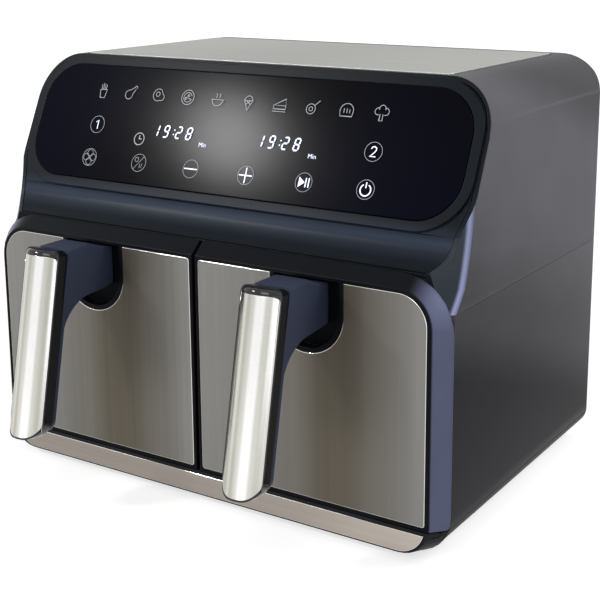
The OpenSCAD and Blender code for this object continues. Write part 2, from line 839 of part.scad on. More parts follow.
module cooling_fan(s) placed("#33363a") side(s) translate([bay_x, fan_y, 0]) difference() {
    union() {
        rod(hub_r, cool_z, cool_z + cool_h);
        rod(2 * hub_r, cool_z + 3, cool_z + 4.2);
        fan_blades(blades, hub_r - 1, cool_r, cool_z - 1, cool_z + cool_h - 1, 35);
    }
    rod(shaft_d / 2, 0, far);
}

// ---- Drawers ----

module drawer_front(s) placed("#1c1e22") side(s) difference() {
    intersection() {
        bevel_block();
        block([drawer_gap / 2, -1, drawer_z], [far, far, far]);
    }
    // Frame that the steel panel lies in
    slab(-1, panel_t) difference() {
        panel_outline(-fit / 2);
        notch(fit / 2);
        panel_corner(-fit / 2);
    }
    // Hollow behind the panel
    difference() {
        slab(panel_t + moulding, far) hollow_outline();
        slab(-far, far) notch();
    }
    // Recess for the handle
    slab(-1, recess_d) intersection() {
        notch(3.6);
        square([far, face_z - rim]);
    }
    handle_screw_places() rotate([90, 0, 0]) rod(1.8, -far, far);
    handle_screw_places() rotate([90, 0, 0]) rod(3.4, -far, -bevel + head_h);
}

// Front view of the hollow in a drawer front
module hollow_outline()
    rounded(drawer_gap / 2 + moulding, face_half - rim, drawer_z + moulding, face_z - rim, 4, 22);

module handle_screw_places()
    for (x = [-8, 8]) translate([bay_x + x, 0, arm_low + 12]) children();

module drawer_inner(s) placed("#26282c") side(s) difference() {
    union() {
        // Plate that closes the drawer front's hollow
        slab(bevel - moulding, bevel) difference() {
            hollow_plate();
            notch(-fit);
        }
        // Neck that carries the basket
        slab(bevel, neck_y) bay_neck(0);
    }
    slab(bevel, far) bay_neck(moulding);
}

module hollow_plate()
    rounded(
        drawer_gap / 2 + moulding + fit, face_half - rim - fit,
        drawer_z + moulding + fit, face_z - rim - fit, 4, 22
    );

// Front view of the neck behind a drawer front, moved in by d
module bay_neck(d)
    translate([bay_x, 0]) rounded(
        -basket_half + d, basket_half - d, basket_z + d, basket_top - 6 - d, 6, 6
    );

module steel_panel(s) placed("#8f8d86") side(s) slab(0, panel_t) difference() {
    panel_outline();
    notch();
    panel_corner();
}

// Plan of the basket, moved in by d
module basket_plan(d)
    translate([bay_x, 0]) rounded(
        -basket_half + d, basket_half - d, basket_y0 + d, basket_y1 - d, basket_r - d, basket_r - d
    );

module basket(s) placed("#2b2c2e") side(s) {
    difference() {
        translate([0, 0, basket_z]) linear_extrude(basket_h) basket_plan(0);
        translate([0, 0, basket_z + basket_t]) linear_extrude(basket_h) basket_plan(basket_t);
    }
    translate([0, 0, basket_top - 2]) linear_extrude(2) difference() {
        basket_plan(-2);
        basket_plan(basket_t - 0.2);
    }
}

module crisper_plate(s) placed("#26272a") side(s) translate([0, 0, crisper_z]) difference() {
    union() {
        linear_extrude(crisper_t) basket_plan(basket_t + 4);
        linear_extrude(crisper_t + 4) difference() {
            basket_plan(basket_t + 4);
            basket_plan(basket_t + 6);
        }
        crisper_corners() rod(4, -crisper_lift + 3, 0.1);
    }
    nx = floor((basket_half - 22) / crisper_pitch);
    ny = floor(((basket_y1 - basket_y0) / 2 - 24) / crisper_pitch);
    for (i = [-nx:nx], j = [-ny:ny])
        translate([bay_x + i * crisper_pitch, (basket_y0 + basket_y1) / 2 + j * crisper_pitch, 0])
            rod(crisper_hole / 2, -1, crisper_t + 1);
}

module crisper_corners()
    for (x = [-1, 1], y = [basket_y0 + 22, basket_y1 - 22])
        translate([bay_x + x * (basket_half - 22), y, 0]) children();

module crisper_pads(s) placed("#3a3c3f") side(s) translate([0, 0, crisper_z - crisper_lift + fit])
    crisper_corners() difference() {
        rod(6, 0, 7);
        rod(4, 3 - fit, 8);
    }

// ---- Handles ----

// Front of the grip's section: a bulge over half the grip's width
module bulge(d) {
    h = grip_w / 2;
    r = (h * h + grip_bulge * grip_bulge) / (2 * grip_bulge);
    intersection() {
        translate([0, r - grip_bulge]) circle(r - d);
        translate([-h, -far]) square([2 * h, far]);
    }
}

// Front view of the grip with its rounded foot, grown by d and lengthened upward by cap
module grip_outline(d, cap = 0)
    rounded(-grip_w / 2 - d, grip_w / 2 + d, -grip_l - d, d + cap, 12 + d, 4 + d);

module grip_shell(s) placed("#c9c7c0") side(s) on_grip() intersection() {
    translate([0, 0, -grip_l]) linear_extrude(grip_l) difference() {
        bulge(0);
        bulge(shell_t);
    }
    slab(-far, far) grip_outline(0);
}

module grip_core(s) placed("#0f1013") side(s) on_grip() {
    // Pad that fills the steel shell
    intersection() {
        translate([0, 0, -grip_l]) linear_extrude(grip_l + cap_h) bulge(shell_t);
        slab(-far, far) grip_outline(-1, cap_h);
    }
    slab(0, core_d) grip_outline(0.8, cap_h);
    // Rim at the foot of the steel shell and cap over its upper end
    intersection() {
        translate([0, 0, -grip_l - foot_rim]) linear_extrude(grip_l / 2) bulge(0);
        slab(-far, 1) difference() {
            grip_outline(foot_rim);
            grip_outline(0.02);
        }
    }
    intersection() {
        translate([0, 0, 0.02]) linear_extrude(cap_h) bulge(0);
        slab(-far, 1) grip_outline(0, cap_h);
    }
}

module handle_arm(s) placed("#2a2d38") side(s) {
    arch_y = spine_y(arch_z) + arch_r - 0.4;
    difference() {
        across(bay_x - arm_half, bay_x + arm_half) difference() {
            polygon([
                [recess_d, arm_low + 2], [arch_y, arm_low], [arch_y, arch_z], [-far, arch_z],
                [-far, face_z + 1.5], [-16, face_z + 1.5], [-4, face_z - 4], [recess_d, face_z - 5]
            ]);
            // Round underside that runs into the spine
            translate([arch_y, arch_z]) circle(arch_r);
        }
        // Everything in front of the grip core's back
        translate([-1, 0, 0]) on_grip() translate([-40, -far + core_d, -far]) cube([82, far, 2 * far]);
        handle_screw_places() rotate([90, 0, 0]) rod(1.5, -far, 8);
    }
    // Spine down the back of the grip
    on_grip() slab(core_d, core_d + spine_t)
        rounded(-arm_half + 0.5, arm_half - 0.5, -grip_l + 2, 0, 10, 3);
}

module handle_screws(s) placed("#9a9da1") side(s) handle_screw_places()
    translate([0, bevel - head_h, 0]) rotate([-90, 0, 0]) screw(1.4, 12);

base_tray();
rubber_feet();
bottom_trim_strip();
lower_shell();
upper_shell();
top_plate();
front_fascia();
control_glass();
display_board();
digit_displays();
rear_cover();
outlet_grilles();
cord_gland();
bay_frame();
centre_divider();
motor_deck();
power_board();
board_parts();
temperature_sensors();
thermal_fuses();
door_switches();
wiring_harness();
housing_screws();
motor_screws();
chamber(-1);  // left_chamber
air_guide(-1);  // left_air_guide
heater(-1);  // left_heater
heater_guard(-1);  // left_heater_guard
motor(-1);  // left_motor
fan_shaft(-1);  // left_fan_shaft
convection_fan(-1);  // left_convection_fan
cooling_fan(-1);  // left_cooling_fan
drawer_front(-1);  // left_drawer_front
drawer_inner(-1);  // left_drawer_inner
steel_panel(-1);  // left_steel_panel
basket(-1);  // left_basket
handle_arm(-1);  // left_handle_arm
grip_core(-1);  // left_grip_core
grip_shell(-1);  // left_grip_shell
handle_screws(-1);  // left_handle_screws
crisper_plate(-1);  // left_crisper_plate
crisper_pads(-1);  // left_crisper_pads
chamber(1);  // right_chamber
air_guide(1);  // right_air_guide
heater(1);  // right_heater
heater_guard(1);  // right_heater_guard
motor(1);  // right_motor
fan_shaft(1);  // right_fan_shaft
convection_fan(1);  // right_convection_fan
cooling_fan(1);  // right_cooling_fan
drawer_front(1);  // right_drawer_front
drawer_inner(1);  // right_drawer_inner
steel_panel(1);  // right_steel_panel
basket(1);  // right_basket
handle_arm(1);  // right_handle_arm
grip_core(1);  // right_grip_core
grip_shell(1);  // right_grip_shell
handle_screws(1);  // right_handle_screws
crisper_plate(1);  // right_crisper_plate
crisper_pads(1);  // right_crisper_pads
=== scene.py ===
"""Air fryer with two drawers: finishes, softened shells and control symbols around its solids."""

import json
import math

import bmesh
import bpy
from bpy.props import FloatProperty, FloatVectorProperty, PointerProperty
from mathutils import Euler, Matrix, Vector


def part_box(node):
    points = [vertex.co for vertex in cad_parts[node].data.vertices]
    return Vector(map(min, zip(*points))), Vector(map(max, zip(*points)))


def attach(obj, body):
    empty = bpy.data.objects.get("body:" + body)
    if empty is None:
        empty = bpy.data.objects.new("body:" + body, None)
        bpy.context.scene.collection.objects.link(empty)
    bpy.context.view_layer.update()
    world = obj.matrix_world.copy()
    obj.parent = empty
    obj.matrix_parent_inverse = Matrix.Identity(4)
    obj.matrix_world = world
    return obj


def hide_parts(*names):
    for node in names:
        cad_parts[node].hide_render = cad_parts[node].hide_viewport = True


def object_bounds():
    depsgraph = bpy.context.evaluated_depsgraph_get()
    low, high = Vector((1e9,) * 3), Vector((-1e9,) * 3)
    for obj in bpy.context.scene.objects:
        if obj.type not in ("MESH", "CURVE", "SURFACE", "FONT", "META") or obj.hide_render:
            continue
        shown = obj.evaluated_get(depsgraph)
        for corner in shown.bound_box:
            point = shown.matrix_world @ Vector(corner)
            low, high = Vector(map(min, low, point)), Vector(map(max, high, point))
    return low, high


bl_info = {
    "name": "Air fryer with two drawers",
    "version": (1, 0, 0),
    "blender": (4, 5, 0),
    "location": "View3D > Sidebar > Air fryer",
    "description": "Dresses the solids of an air fryer with finished pieces and materials",
    "category": "Object",
}

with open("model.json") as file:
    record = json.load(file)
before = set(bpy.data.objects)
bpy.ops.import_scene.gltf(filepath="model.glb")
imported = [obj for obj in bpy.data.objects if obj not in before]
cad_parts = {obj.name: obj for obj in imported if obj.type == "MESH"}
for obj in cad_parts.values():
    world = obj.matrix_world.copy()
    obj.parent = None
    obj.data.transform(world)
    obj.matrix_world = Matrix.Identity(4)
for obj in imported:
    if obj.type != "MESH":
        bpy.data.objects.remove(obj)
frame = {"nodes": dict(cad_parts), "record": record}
CAD_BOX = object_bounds()

MM = 0.001
SIDES = ("left_", "right_")
# Faces within FLAT of each other count as one, and an edge past CREASE is a sharp one
FLAT = math.radians(1.0)
CREASE = math.radians(30.0)
WELD = 0.002 * MM


# ---- Sizes and colours that a user would change ----


def display(red, green, blue):
    """Linear colour of an 8-bit display colour."""

    def linear(value):
        share = value / 255.0
        return share / 12.92 if share <= 0.04045 else ((share + 0.055) / 1.055) ** 2.4

    return tuple(linear(value) for value in (red, green, blue))


def colour(name, text, *value):
    """Colour property whose default is an 8-bit display colour."""
    return FloatVectorProperty(
        name=name, description=text, subtype="COLOR", size=3, min=0.0, max=1.0,
        default=display(*value),
    )


def length(name, text, value):
    """Length property with a default in millimetres."""
    return FloatProperty(
        name=name, description=text, subtype="DISTANCE", unit="LENGTH", min=0.0,
        precision=5, default=value * MM,
    )


def angle(name, text, value):
    """Angle property with a default in degrees."""
    return FloatProperty(
        name=name, description=text, subtype="ANGLE", unit="ROTATION",
        default=math.radians(value),
    )


def power(name, text, value):
    """Lamp power property with a default in watts."""
    return FloatProperty(name=name, description=text, unit="POWER", min=0.0, default=value)


class FryerColours(bpy.types.PropertyGroup):
    """Colours of the finishes."""

    # Pale and dark ends of the shells' painted light and shade
    shell: colour("Shells, pale", "Palest tone of the shells", 92, 91, 95)
    lower: colour("Shells, dark", "Darkest tone of the shells", 31, 30, 33)
    # The waist edge's colour is a painted highlight on the rounded rim beside the waist
    waist: colour("Waist edge", "Smooth rounded edge beside the waist", 150, 156, 192)
    cove: colour("Waist corner", "Plastic between the waist and its edge", 44, 50, 58)
    base: colour("Base", "Plastic of the base and the rear cover", 30, 31, 34)
    fascia: colour("Fascia", "Plastic round the control glass", 14, 19, 25)
    # The hollow's colour is a painted highlight where the hollow under the control glass turns up
    hollow: colour("Hollow", "Palest tone of the hollow under the control glass", 54, 62, 77)
    drawer: colour("Drawer fronts", "Plastic of the drawer fronts", 11, 12, 16)
    # The drawer bevels' colour is a painted reflection on the outer bevels
    bevel: colour("Drawer bevels", "Satin upright bevels of the drawer fronts", 98, 102, 126)
    # The handle recess's colour is painted shade in the recess behind a handle
    recess: colour("Handle recess", "Plastic of the recess behind a handle", 8, 10, 14)
    arm: colour("Handle arms", "Plastic of the handle arms", 58, 64, 82)
    grip: colour("Grip cores", "Gloss plastic of the grips", 16, 17, 22)
    glass: colour("Control glass", "Back print of the control glass", 6, 6, 13)
    lit: colour("Lit signs", "Light of the digits and symbols", 226, 230, 255)
    printed: colour("Printed signs", "Print of the dim symbols", 176, 178, 184)
    # Panel colours are the pale and dark ends of a painted reflection across each panel
    steel_light: colour("Panel, light", "Brushed steel near a panel's sides", 132, 131, 128)
    steel_dark: colour("Panel, dark", "Brushed steel in a panel's middle", 96, 90, 79)
    # The strip's colour is brightened towards high X as a painted reflection
    strip: colour("Bottom strip", "Brushed steel under the drawers", 156, 148, 140)
    # Grip colours are the bright and dark bands of a painted reflection across each grip's steel
    grip_light: colour("Grip steel, light", "Bright streaks of the grip's steel", 238, 238, 236)
    grip_dark: colour("Grip steel, dark", "Dark streaks of the grip's steel", 174, 172, 162)
    top: colour("Top plate", "Brushed plate on the top", 190, 190, 186)
    sheet: colour("Sheet metal", "Aluminised sheet of the chambers", 170, 172, 174)
    coating: colour("Non-stick coating", "Coating of baskets and crisper plates", 38, 38, 40)
    rubber: colour("Rubber", "Feet, gland and pads", 24, 24, 25)


class FryerSizes(bpy.types.PropertyGroup):
    """Widths of softened edges and sizes of the signs on the glass."""

    shell_edge: length("Shell edge", "Softened width of the shells' edges", 0.7)
    drawer_edge: length("Drawer edge", "Softened width of the drawer fronts' edges", 0.7)
    panel_edge: length("Panel edge", "Width of the polished edge of the steel panels", 0.45)
    arm_edge: length("Arm edge", "Softened width of the handle arms' edges", 1.9)
    small_edge: length("Small edge", "Softened width of small pieces' edges", 0.3)
    sign_height: length("Symbol height", "Height of the round symbols", 13.2)
    food_height: length("Food symbol height", "Height of the food symbols", 11.6)
    digit_height: length("Digit height", "Height of the lit digits", 9.6)
    line: length("Line width", "Width of the lines of the symbols", 0.42)
    row_pitch: length("Symbol pitch", "Distance between the lower symbols", 48.2)
    food_pitch: length("Food symbol pitch", "Distance between the food symbols", 27.0)


class FryerStage(bpy.types.PropertyGroup):
    """Camera and lamps."""

    place: FloatVectorProperty(
        name="Camera place", description="Where the camera stands", subtype="XYZ", unit="LENGTH",
        default=(0.5209, -0.7445, 0.395),
    )
    turn: angle("Turn", "Turn of the camera about the upright", 32.4)
    tilt: angle("Tilt", "How far the camera looks down", 12.28)
    roll: angle("Roll", "Turn of the camera about its own line of sight", -0.22)
    lens: FloatProperty(
        name="Lens", description="Focal length in millimetres", min=20.0, max=200.0, default=74.9
    )
    shift: FloatVectorProperty(
        name="Shift", description="Lens shift across and up", size=2, default=(-0.0369, -0.15)
    )
    room: FloatProperty(
        name="Room light", description="Light of the room on matt surfaces", min=0.0, max=2.0,
        default=0.3,
    )
    key: power("Key lamp", "Power of the large front lamp", 19.0)
    side: power("Side lamp", "Power of the lamp at the right", 9.0)
    low: power("Low lamp", "Power of the bluish lamp at the right front", 3.0)
    overhead: power("Top lamp", "Power of the lamp over the object", 1.0)
    spot: power("Glass lamp", "Power of the small lamp that the glass mirrors", 9.0)


def colours():
    return bpy.context.scene.fryer_colours


def sizes():
    return bpy.context.scene.fryer_sizes


def shaded(tone, share):
    """Colour times a brightness."""
    return tuple(share * value for value in tone)


def blended(one, other, share=0.5):
    """Mix of two colours, with this share of the second."""
    return tuple((1 - share) * a + share * b for a, b in zip(one, other))


# ---- Materials ----


class Paint:
    """A material whose shader is a Principled BSDF, with short calls to add nodes before it."""

    def __init__(self, name, **sockets):
        self.material = bpy.data.materials.new(name)
        self.material.use_nodes = True
        self.tree = self.material.node_tree
        self.shader = self.tree.nodes["Principled BSDF"]
        for socket, value in sockets.items():
            self.set(self.shader, socket.replace("_", " "), value)

    @staticmethod
    def set(node, socket, value):
        if isinstance(value, tuple) and len(value) == 3 and node.inputs[socket].type == "RGBA":
            value = (*value, 1.0)
        node.inputs[socket].default_value = value

    def node(self, kind, settings=None, **sockets):
        made = self.tree.nodes.new("ShaderNode" + kind)
        for key, value in (settings or {}).items():
            setattr(made, key, value)
        for socket, value in sockets.items():
            self.join(value, made.inputs[socket.replace("_", " ")])
        return made

    def join(self, value, socket):
        """Sets a socket to a value, or links an output to it."""
        if isinstance(value, bpy.types.NodeSocket):
            self.tree.links.new(value, socket)
        elif isinstance(value, tuple) and socket.type == "RGBA":
            socket.default_value = (*value, 1.0)[:4]
        else:
            socket.default_value = value

    def coordinates(self, scale=(1.0, 1.0, 1.0), location=(0.0, 0.0, 0.0)):
        """Object coordinates, first moved and then scaled."""
        source = self.node("TexCoord").outputs["Object"]
        moved = self.node("VectorMath", {"operation": "ADD"})
        self.join(source, moved.inputs[0])
        self.join(location, moved.inputs[1])
        mapping = self.node("Mapping")
        self.join(moved.outputs["Vector"], mapping.inputs["Vector"])
        self.join(scale, mapping.inputs["Scale"])
        return mapping.outputs["Vector"]

    def axes(self):
        """The X, Y and Z of the Object coordinates."""
        return self.node("SeparateXYZ", Vector=self.coordinates()).outputs

    def calculated(self, operation, *values, kind="Math"):
        """Result of one operation on values."""
        made = self.node(kind, {"operation": operation})
        for value, socket in zip(values, made.inputs):
            self.join(value, socket)
        return made.outputs["Value"]

    def noise(self, scale, detail=2.0, roughness=0.5):
        """Noise over Object coordinates, whose features per metre differ by axis."""
        return self.node(
            "TexNoise", Vector=self.coordinates(scale), Scale=1.0, Detail=detail,
            Roughness=roughness,
        ).outputs["Fac"]

    def cells(self, scale):
        """Distance to the middles of even cells."""
        place = self.coordinates(even(scale))
        return self.node("TexVoronoi", Vector=place, Scale=1.0).outputs["Distance"]

    def spread(self, value, low, high, source=(0.3, 0.7)):
        """Value spread from its usual range to a new one."""
        return self.node(
            "MapRange", Value=value, From_Min=source[0], From_Max=source[1], To_Min=low,
            To_Max=high,
        ).outputs["Result"]

    def ramp(self, value, stops):
        made = self.node("ValToRGB", Fac=value)
        elements = made.color_ramp.elements
        made.color_ramp.interpolation = "EASE"
        while len(elements) < len(stops):
            elements.new(0.5)
        for element, (place, shade) in zip(elements, stops):
            element.position = place
            element.color = (*shade, 1.0)
        return made.outputs["Color"]

    def tinted(self, shade, factor):
        """Colour times a brightness that varies over the surface."""
        made = self.node("VectorMath", {"operation": "SCALE"})
        self.join(shade if isinstance(shade, bpy.types.NodeSocket) else tuple(shade), made.inputs[0])
        self.join(factor, made.inputs["Scale"])
        return made.outputs["Vector"]

    def to(self, socket, value):
        self.join(value, self.shader.inputs[socket])

    def surface(self, tone, tints, gloss, bump=None):
        """Finishes the material. Tints and gloss are a pattern and its range of brightness or
        roughness, and bump is a depth in millimetres and a strength for the gloss pattern."""
        self.to("Base Color", self.tinted(tone, self.spread(*tints)))
        self.to("Roughness", self.spread(*gloss))
        if bump:
            height = self.node("Bump", Height=gloss[0], Distance=bump[0] * MM, Strength=bump[1])
            self.to("Normal", height.outputs["Normal"])
        return self.material


def even(scale):
    return (scale, scale, scale)


# Grains per metre of a moulded face and their depth in millimetres
GRAIN = 1800.0
GRAIN_DEPTH = 0.02
# Direction in which the shells' painted light turns paler, away from painted shade at the front
# foot, and how far along it their tones reach
SHELL_CLIMB = (0.0, 0.35, 1.0)
SHELL_TOP = 0.33
# Height over the control face's foot in which the hollow's painted highlight and shade lie
HOLLOW_RAMP = 60 * MM
# Where the painted reflection on the drawers' outer bevels starts behind the front, and the painted
# light on their shoulder under the top
BEVEL_START = 0.2 * MM
BEVEL_END = 1.2 * MM
SHOULDER_FOOT = 34 * MM
SHOULDER_TOP = 14 * MM
# Fine streaks and broad bands of brushed steel per metre, across and along the brushing
STREAKS = 2600.0
STREAKS_ALONG = 6.0
BANDS = 0.09 * STREAKS
BANDS_ALONG = 1.5


def moulded(paint, tone, roughness, grain=GRAIN, depth=GRAIN_DEPTH, cloud=14.0, change=0.08):
    """Gives a tone the slow changes and the fine spark-eroded grain of moulded plastic."""
    slow = paint.noise(even(cloud), detail=3.0)
    fine = paint.noise(even(grain), detail=1.0)
    gloss = (fine, roughness - 0.05, roughness + 0.05)
    return paint.surface(tone, (slow, 1 - change, 1 + change), gloss, (depth, 0.35))


def plastic(name, shade, roughness, grain=GRAIN, depth=GRAIN_DEPTH, specular=0.3):
    """Moulded plastic of one colour."""
    paint = Paint(name, Specular_IOR_Level=specular)
    return moulded(paint, shade, roughness, grain, depth, 9.0, 0.07)


def off_middle(paint, axes, near, far):
    """Distance from the middle plane, as zero at near and one at far."""
    side = paint.calculated("ABSOLUTE", axes["X"])
    return paint.spread(side, 0.0, 1.0, (near, far))


def satin_shell(name, low, high):
    """Plastic with painted shade that is darkest at the front foot and painted light that is palest
    under the rear top edge.
    """
    paint = Paint(name, Specular_IOR_Level=0.05)
    climb = paint.calculated("DOT_PRODUCT", paint.coordinates(), SHELL_CLIMB, kind="VectorMath")
    rise = paint.spread(climb, 0.0, 1.0, (0.0, SHELL_TOP))
    middle = blended(low, high)
    stops = [(0.0, low), (0.28, low), (0.44, middle), (0.72, high), (0.88, high), (1.0, middle)]
    return moulded(paint, paint.ramp(rise, stops), 0.46)


def waist_painted_highlight(name, dark, satin, edge, near, far):
    """Smooth plastic beside the waist: dark inward, with a painted highlight out at the rounded
    edge.
    """
    paint = Paint(name, Specular_IOR_Level=0.15)
    across = off_middle(paint, paint.axes(), near, far)
    return moulded(paint, paint.ramp(across, [(0.3, dark), (0.65, satin), (1.0, edge)]), 0.32)


def hollow_painted_light(name, dark, pale, foot):
    """Dark plastic with a painted highlight where the hollow under the control glass turns up, and
    painted shade at its foot.
    """
    paint = Paint(name, Specular_IOR_Level=0.07)
    rise = paint.spread(paint.axes()["Z"], 0.0, 1.0, (foot, foot + HOLLOW_RAMP))
    mixed = blended(dark, pale, 1 / 3)
    stops = [
        (0.0, shaded(dark, 0.6)), (0.06, shaded(dark, 1.4)), (0.16, mixed), (0.27, pale),
        (0.37, mixed), (0.48, dark),
    ]
    return moulded(paint, paint.ramp(rise, stops), 0.34)


def bevels_painted_highlight(name, dark, satin, near, far, front, top):
    """Dark plastic with a paler painted reflection on the outer bevels behind the front, and painted
    light that brightens it towards the top.
    """
    paint = Paint(name, Specular_IOR_Level=0.06)
    axes = paint.axes()
    across = off_middle(paint, axes, near, far)
    behind = paint.spread(axes["Y"], 0.0, 1.0, (front + BEVEL_START, front + BEVEL_END))
    both = paint.calculated("MULTIPLY", across, behind)
    tone = paint.ramp(both, [(0.0, dark), (1.0, satin)])
    shoulder = paint.spread(axes["Z"], 1.0, 1.5, (top - SHOULDER_FOOT, top - SHOULDER_TOP))
    return moulded(paint, paint.tinted(tone, shoulder), 0.36)


def brushed(name, stops, start, end, along=2, roughness=0.3, contrast=0.05, metallic=1.0, rim=1.0):
    """Brushed steel: tone bands across X from start to end, which are a painted reflection on the
    panels, strip and grips, and fine streaks along one axis.
    """
    paint = Paint(name, Metallic=metallic, Specular_IOR_Level=0.2)
    paint.set(paint.shader, "Specular Tint", even(rim))
    across = paint.coordinates((1.0 / (end - start), 1.0, 1.0), (-start, 0.0, 0.0))
    place = paint.node("SeparateXYZ", Vector=across).outputs["X"]
    scale = [STREAKS] * 3
    scale[along] = STREAKS_ALONG
    fine = paint.noise(tuple(scale), detail=3.0, roughness=0.6)
    scale = [BANDS] * 3
    scale[along] = BANDS_ALONG
    broad = paint.noise(tuple(scale), detail=2.0)
    tone = paint.tinted(paint.ramp(place, stops), paint.spread(broad, 1 - contrast, 1 + contrast))
    gloss = (fine, roughness - 0.06, roughness + 0.06)
    return paint.surface(tone, (fine, 1 - contrast, 1 + contrast), gloss, (0.01, 0.25))


def polished(name, shade, roughness=0.12):
    """Polished metal with faint wipe marks."""
    paint = Paint(name, Metallic=1.0)
    marks = paint.noise(even(60.0), detail=4.0)
    return paint.surface(shade, (marks, 0.96, 1.03), (marks, roughness * 0.7, roughness * 1.3))


def sheet_metal(name, shade, roughness=0.38):
    """Aluminised sheet with a faint spangle."""
    paint = Paint(name, Metallic=1.0)
    rolled = paint.noise((40.0, 900.0, 40.0), detail=2.0)
    gloss = (rolled, roughness - 0.08, roughness + 0.08)
    return paint.surface(shade, (paint.cells(160.0), 0.92, 1.05, (0.0, 0.7)), gloss, (0.01, 0.2))


def coating(name, shade):
    """Non-stick coating with fine pale flecks and an orange-peel skin."""
    paint = Paint(name, Specular_IOR_Level=0.4)
    peel = paint.noise(even(700.0), detail=2.0)
    flecks = (paint.cells(900.0), 2.6, 1.0, (0.0, 0.16))
    return paint.surface(shade, flecks, (peel, 0.28, 0.42), (0.03, 0.4))


def rubber(name, shade):
    """Matt rubber with a dusty bloom."""
    paint = Paint(name, Specular_IOR_Level=0.2)
    bloom = paint.noise(even(140.0), detail=5.0, roughness=0.7)
    return paint.surface(shade, (bloom, 0.85, 1.25), (bloom, 0.7, 0.9), (0.03, 0.3))


def glossy_glass(name, shade):
    """Black-backed control glass whose print has a faint blue cloud."""
    paint = Paint(name, Specular_IOR_Level=0.032, Roughness=0.16)
    cloud = paint.noise(even(5.0), detail=1.0)
    low = tuple(v * s for v, s in zip(shade, (1.0, 1.0, 0.7)))
    high = tuple(v * s for v, s in zip(shade, (0.9, 1.0, 1.9)))
    paint.to("Base Color", paint.ramp(cloud, [(0.35, low), (0.65, high)]))
    return paint.material


def glowing(name, shade, strength):
    """Lit print or display segment, a little uneven as a diffuser is."""
    paint = Paint(name, Roughness=0.4, Specular_IOR_Level=0.1)
    uneven = paint.noise(even(500.0), detail=1.0)
    paint.to("Base Color", paint.tinted(shade, paint.spread(uneven, 0.8, 0.9)))
    paint.to("Emission Color", paint.tinted(shade, paint.spread(uneven, 0.9, 1.0)))
    paint.set(paint.shader, "Emission Strength", strength)
    return paint.material


def circuit_board(name):
    """Green solder mask with copper tracks showing through."""
    paint = Paint(name, Specular_IOR_Level=0.5, Roughness=0.35)
    tracks = paint.node(
        "TexBrick", {"offset": 0.5}, Vector=paint.coordinates(even(90.0)), Scale=1.0,
        Color1=display(24, 88, 48), Color2=display(20, 78, 42), Mortar=display(52, 118, 66),
        Mortar_Size=0.05,
    ).outputs["Color"]
    paint.to("Base Color", tracks)
    return paint.material


def ceramic(name, shade):
    """Bare ceramic with fine pores."""
    paint = Paint(name, Specular_IOR_Level=0.3)
    pores = paint.noise(even(1200.0), detail=2.0)
    return paint.surface(shade, (pores, 0.94, 1.02), (pores, 0.55, 0.75))


MADE = {}


def finish(key, make, *values, **settings):
    """The material of that key, made on its first use."""
    if key not in MADE:
        MADE[key] = make(key, *values, **settings)
    return MADE[key]


# ---- Pieces ----


def body_of(node):
    bodies = frame["record"]["behaviour"]["bodies"]
    return next(body for body, members in bodies.items() if node in members)


def slot_of(node):
    return next(p["material_slot"] for p in frame["record"]["subparts"] if p["node"] == node)


def cad_copy(node):
    """Mesh of a CAD node with its loose triangles merged and its flat faces joined."""
    shape = bmesh.new()
    shape.from_mesh(frame["nodes"][node].data)
    bmesh.ops.remove_doubles(shape, verts=shape.verts, dist=WELD)
    bmesh.ops.dissolve_limit(shape, angle_limit=FLAT, verts=shape.verts, edges=shape.edges)
    return shape


def linked(name, shape, materials):
    """Object at the origin with a bmesh's faces, linked to the scene."""
    mesh = bpy.data.meshes.new(name)
    shape.to_mesh(mesh)
    shape.free()
    for material in materials:
        mesh.materials.append(material)
    made = bpy.data.objects.new(name, mesh)
    bpy.context.scene.collection.objects.link(made)
    return made


def make_piece(shape, name, body, materials, nodes=(), edge=0.0, edge_material=-1):
    """Turns a bmesh into a finished piece that rides on a body."""
    piece = linked(name, shape, materials)
    piece.data.shade_smooth()
    piece.data.set_sharp_from_angle(angle=CREASE)
    if edge:
        soft = piece.modifiers.new("Softened edges", "BEVEL")
        soft.width = edge
        soft.segments = 3
        soft.limit_method = "ANGLE"
        soft.angle_limit = CREASE
        soft.use_clamp_overlap = False
        soft.harden_normals = True
        soft.material = edge_material
    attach(piece, body)
    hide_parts(*nodes)
    return piece


def stand_in(node, shape, *materials, edge=0.0, edge_material=-1):
    """Makes a shape a CAD node's finished piece, on that node's body."""
    return make_piece(
        shape, "soft_" + node, body_of(node), materials, [node], edge, edge_material
    )


def softened(node, *materials, edge=None, **settings):
    """A CAD node's own shape with softened edges, small ones unless told."""
    edge = sizes().small_edge if edge is None else edge
    return stand_in(node, cad_copy(node), *materials, edge=edge, **settings)


def paint_node(node, material):
    """Gives a CAD node that stays as it is its material."""
    slots = frame["nodes"][node].material_slots
    if not slots:
        frame["nodes"][node].data.materials.append(material)
    for entry in slots:
        entry.material = material


# ---- Housing ----

# Width of the upper shell's smooth front corners, and of the rounded rim outside them
CORNER = 40 * MM
CORNER_RIM = 6 * MM
# Faces whose normal has less than this in Y look forward
FORWARD = -0.3


def base_plastic():
    return finish("matt_base", plastic, colours().base, 0.5, specular=0.1)


# The fascia's plastic has a painted highlight where the hollow under the glass turns up and painted
# shade at its foot
def fascia_plastic():
    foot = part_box("front_fascia")[0].z
    return finish("fascia_plastic", hollow_painted_light, colours().fascia, colours().hollow, foot)


def polished_panel(node, steel):
    """Brushed steel with a polished edge."""
    shine = finish("polished_edge", polished, display(214, 213, 208))
    return softened(node, steel, shine, edge=sizes().panel_edge, edge_material=1)


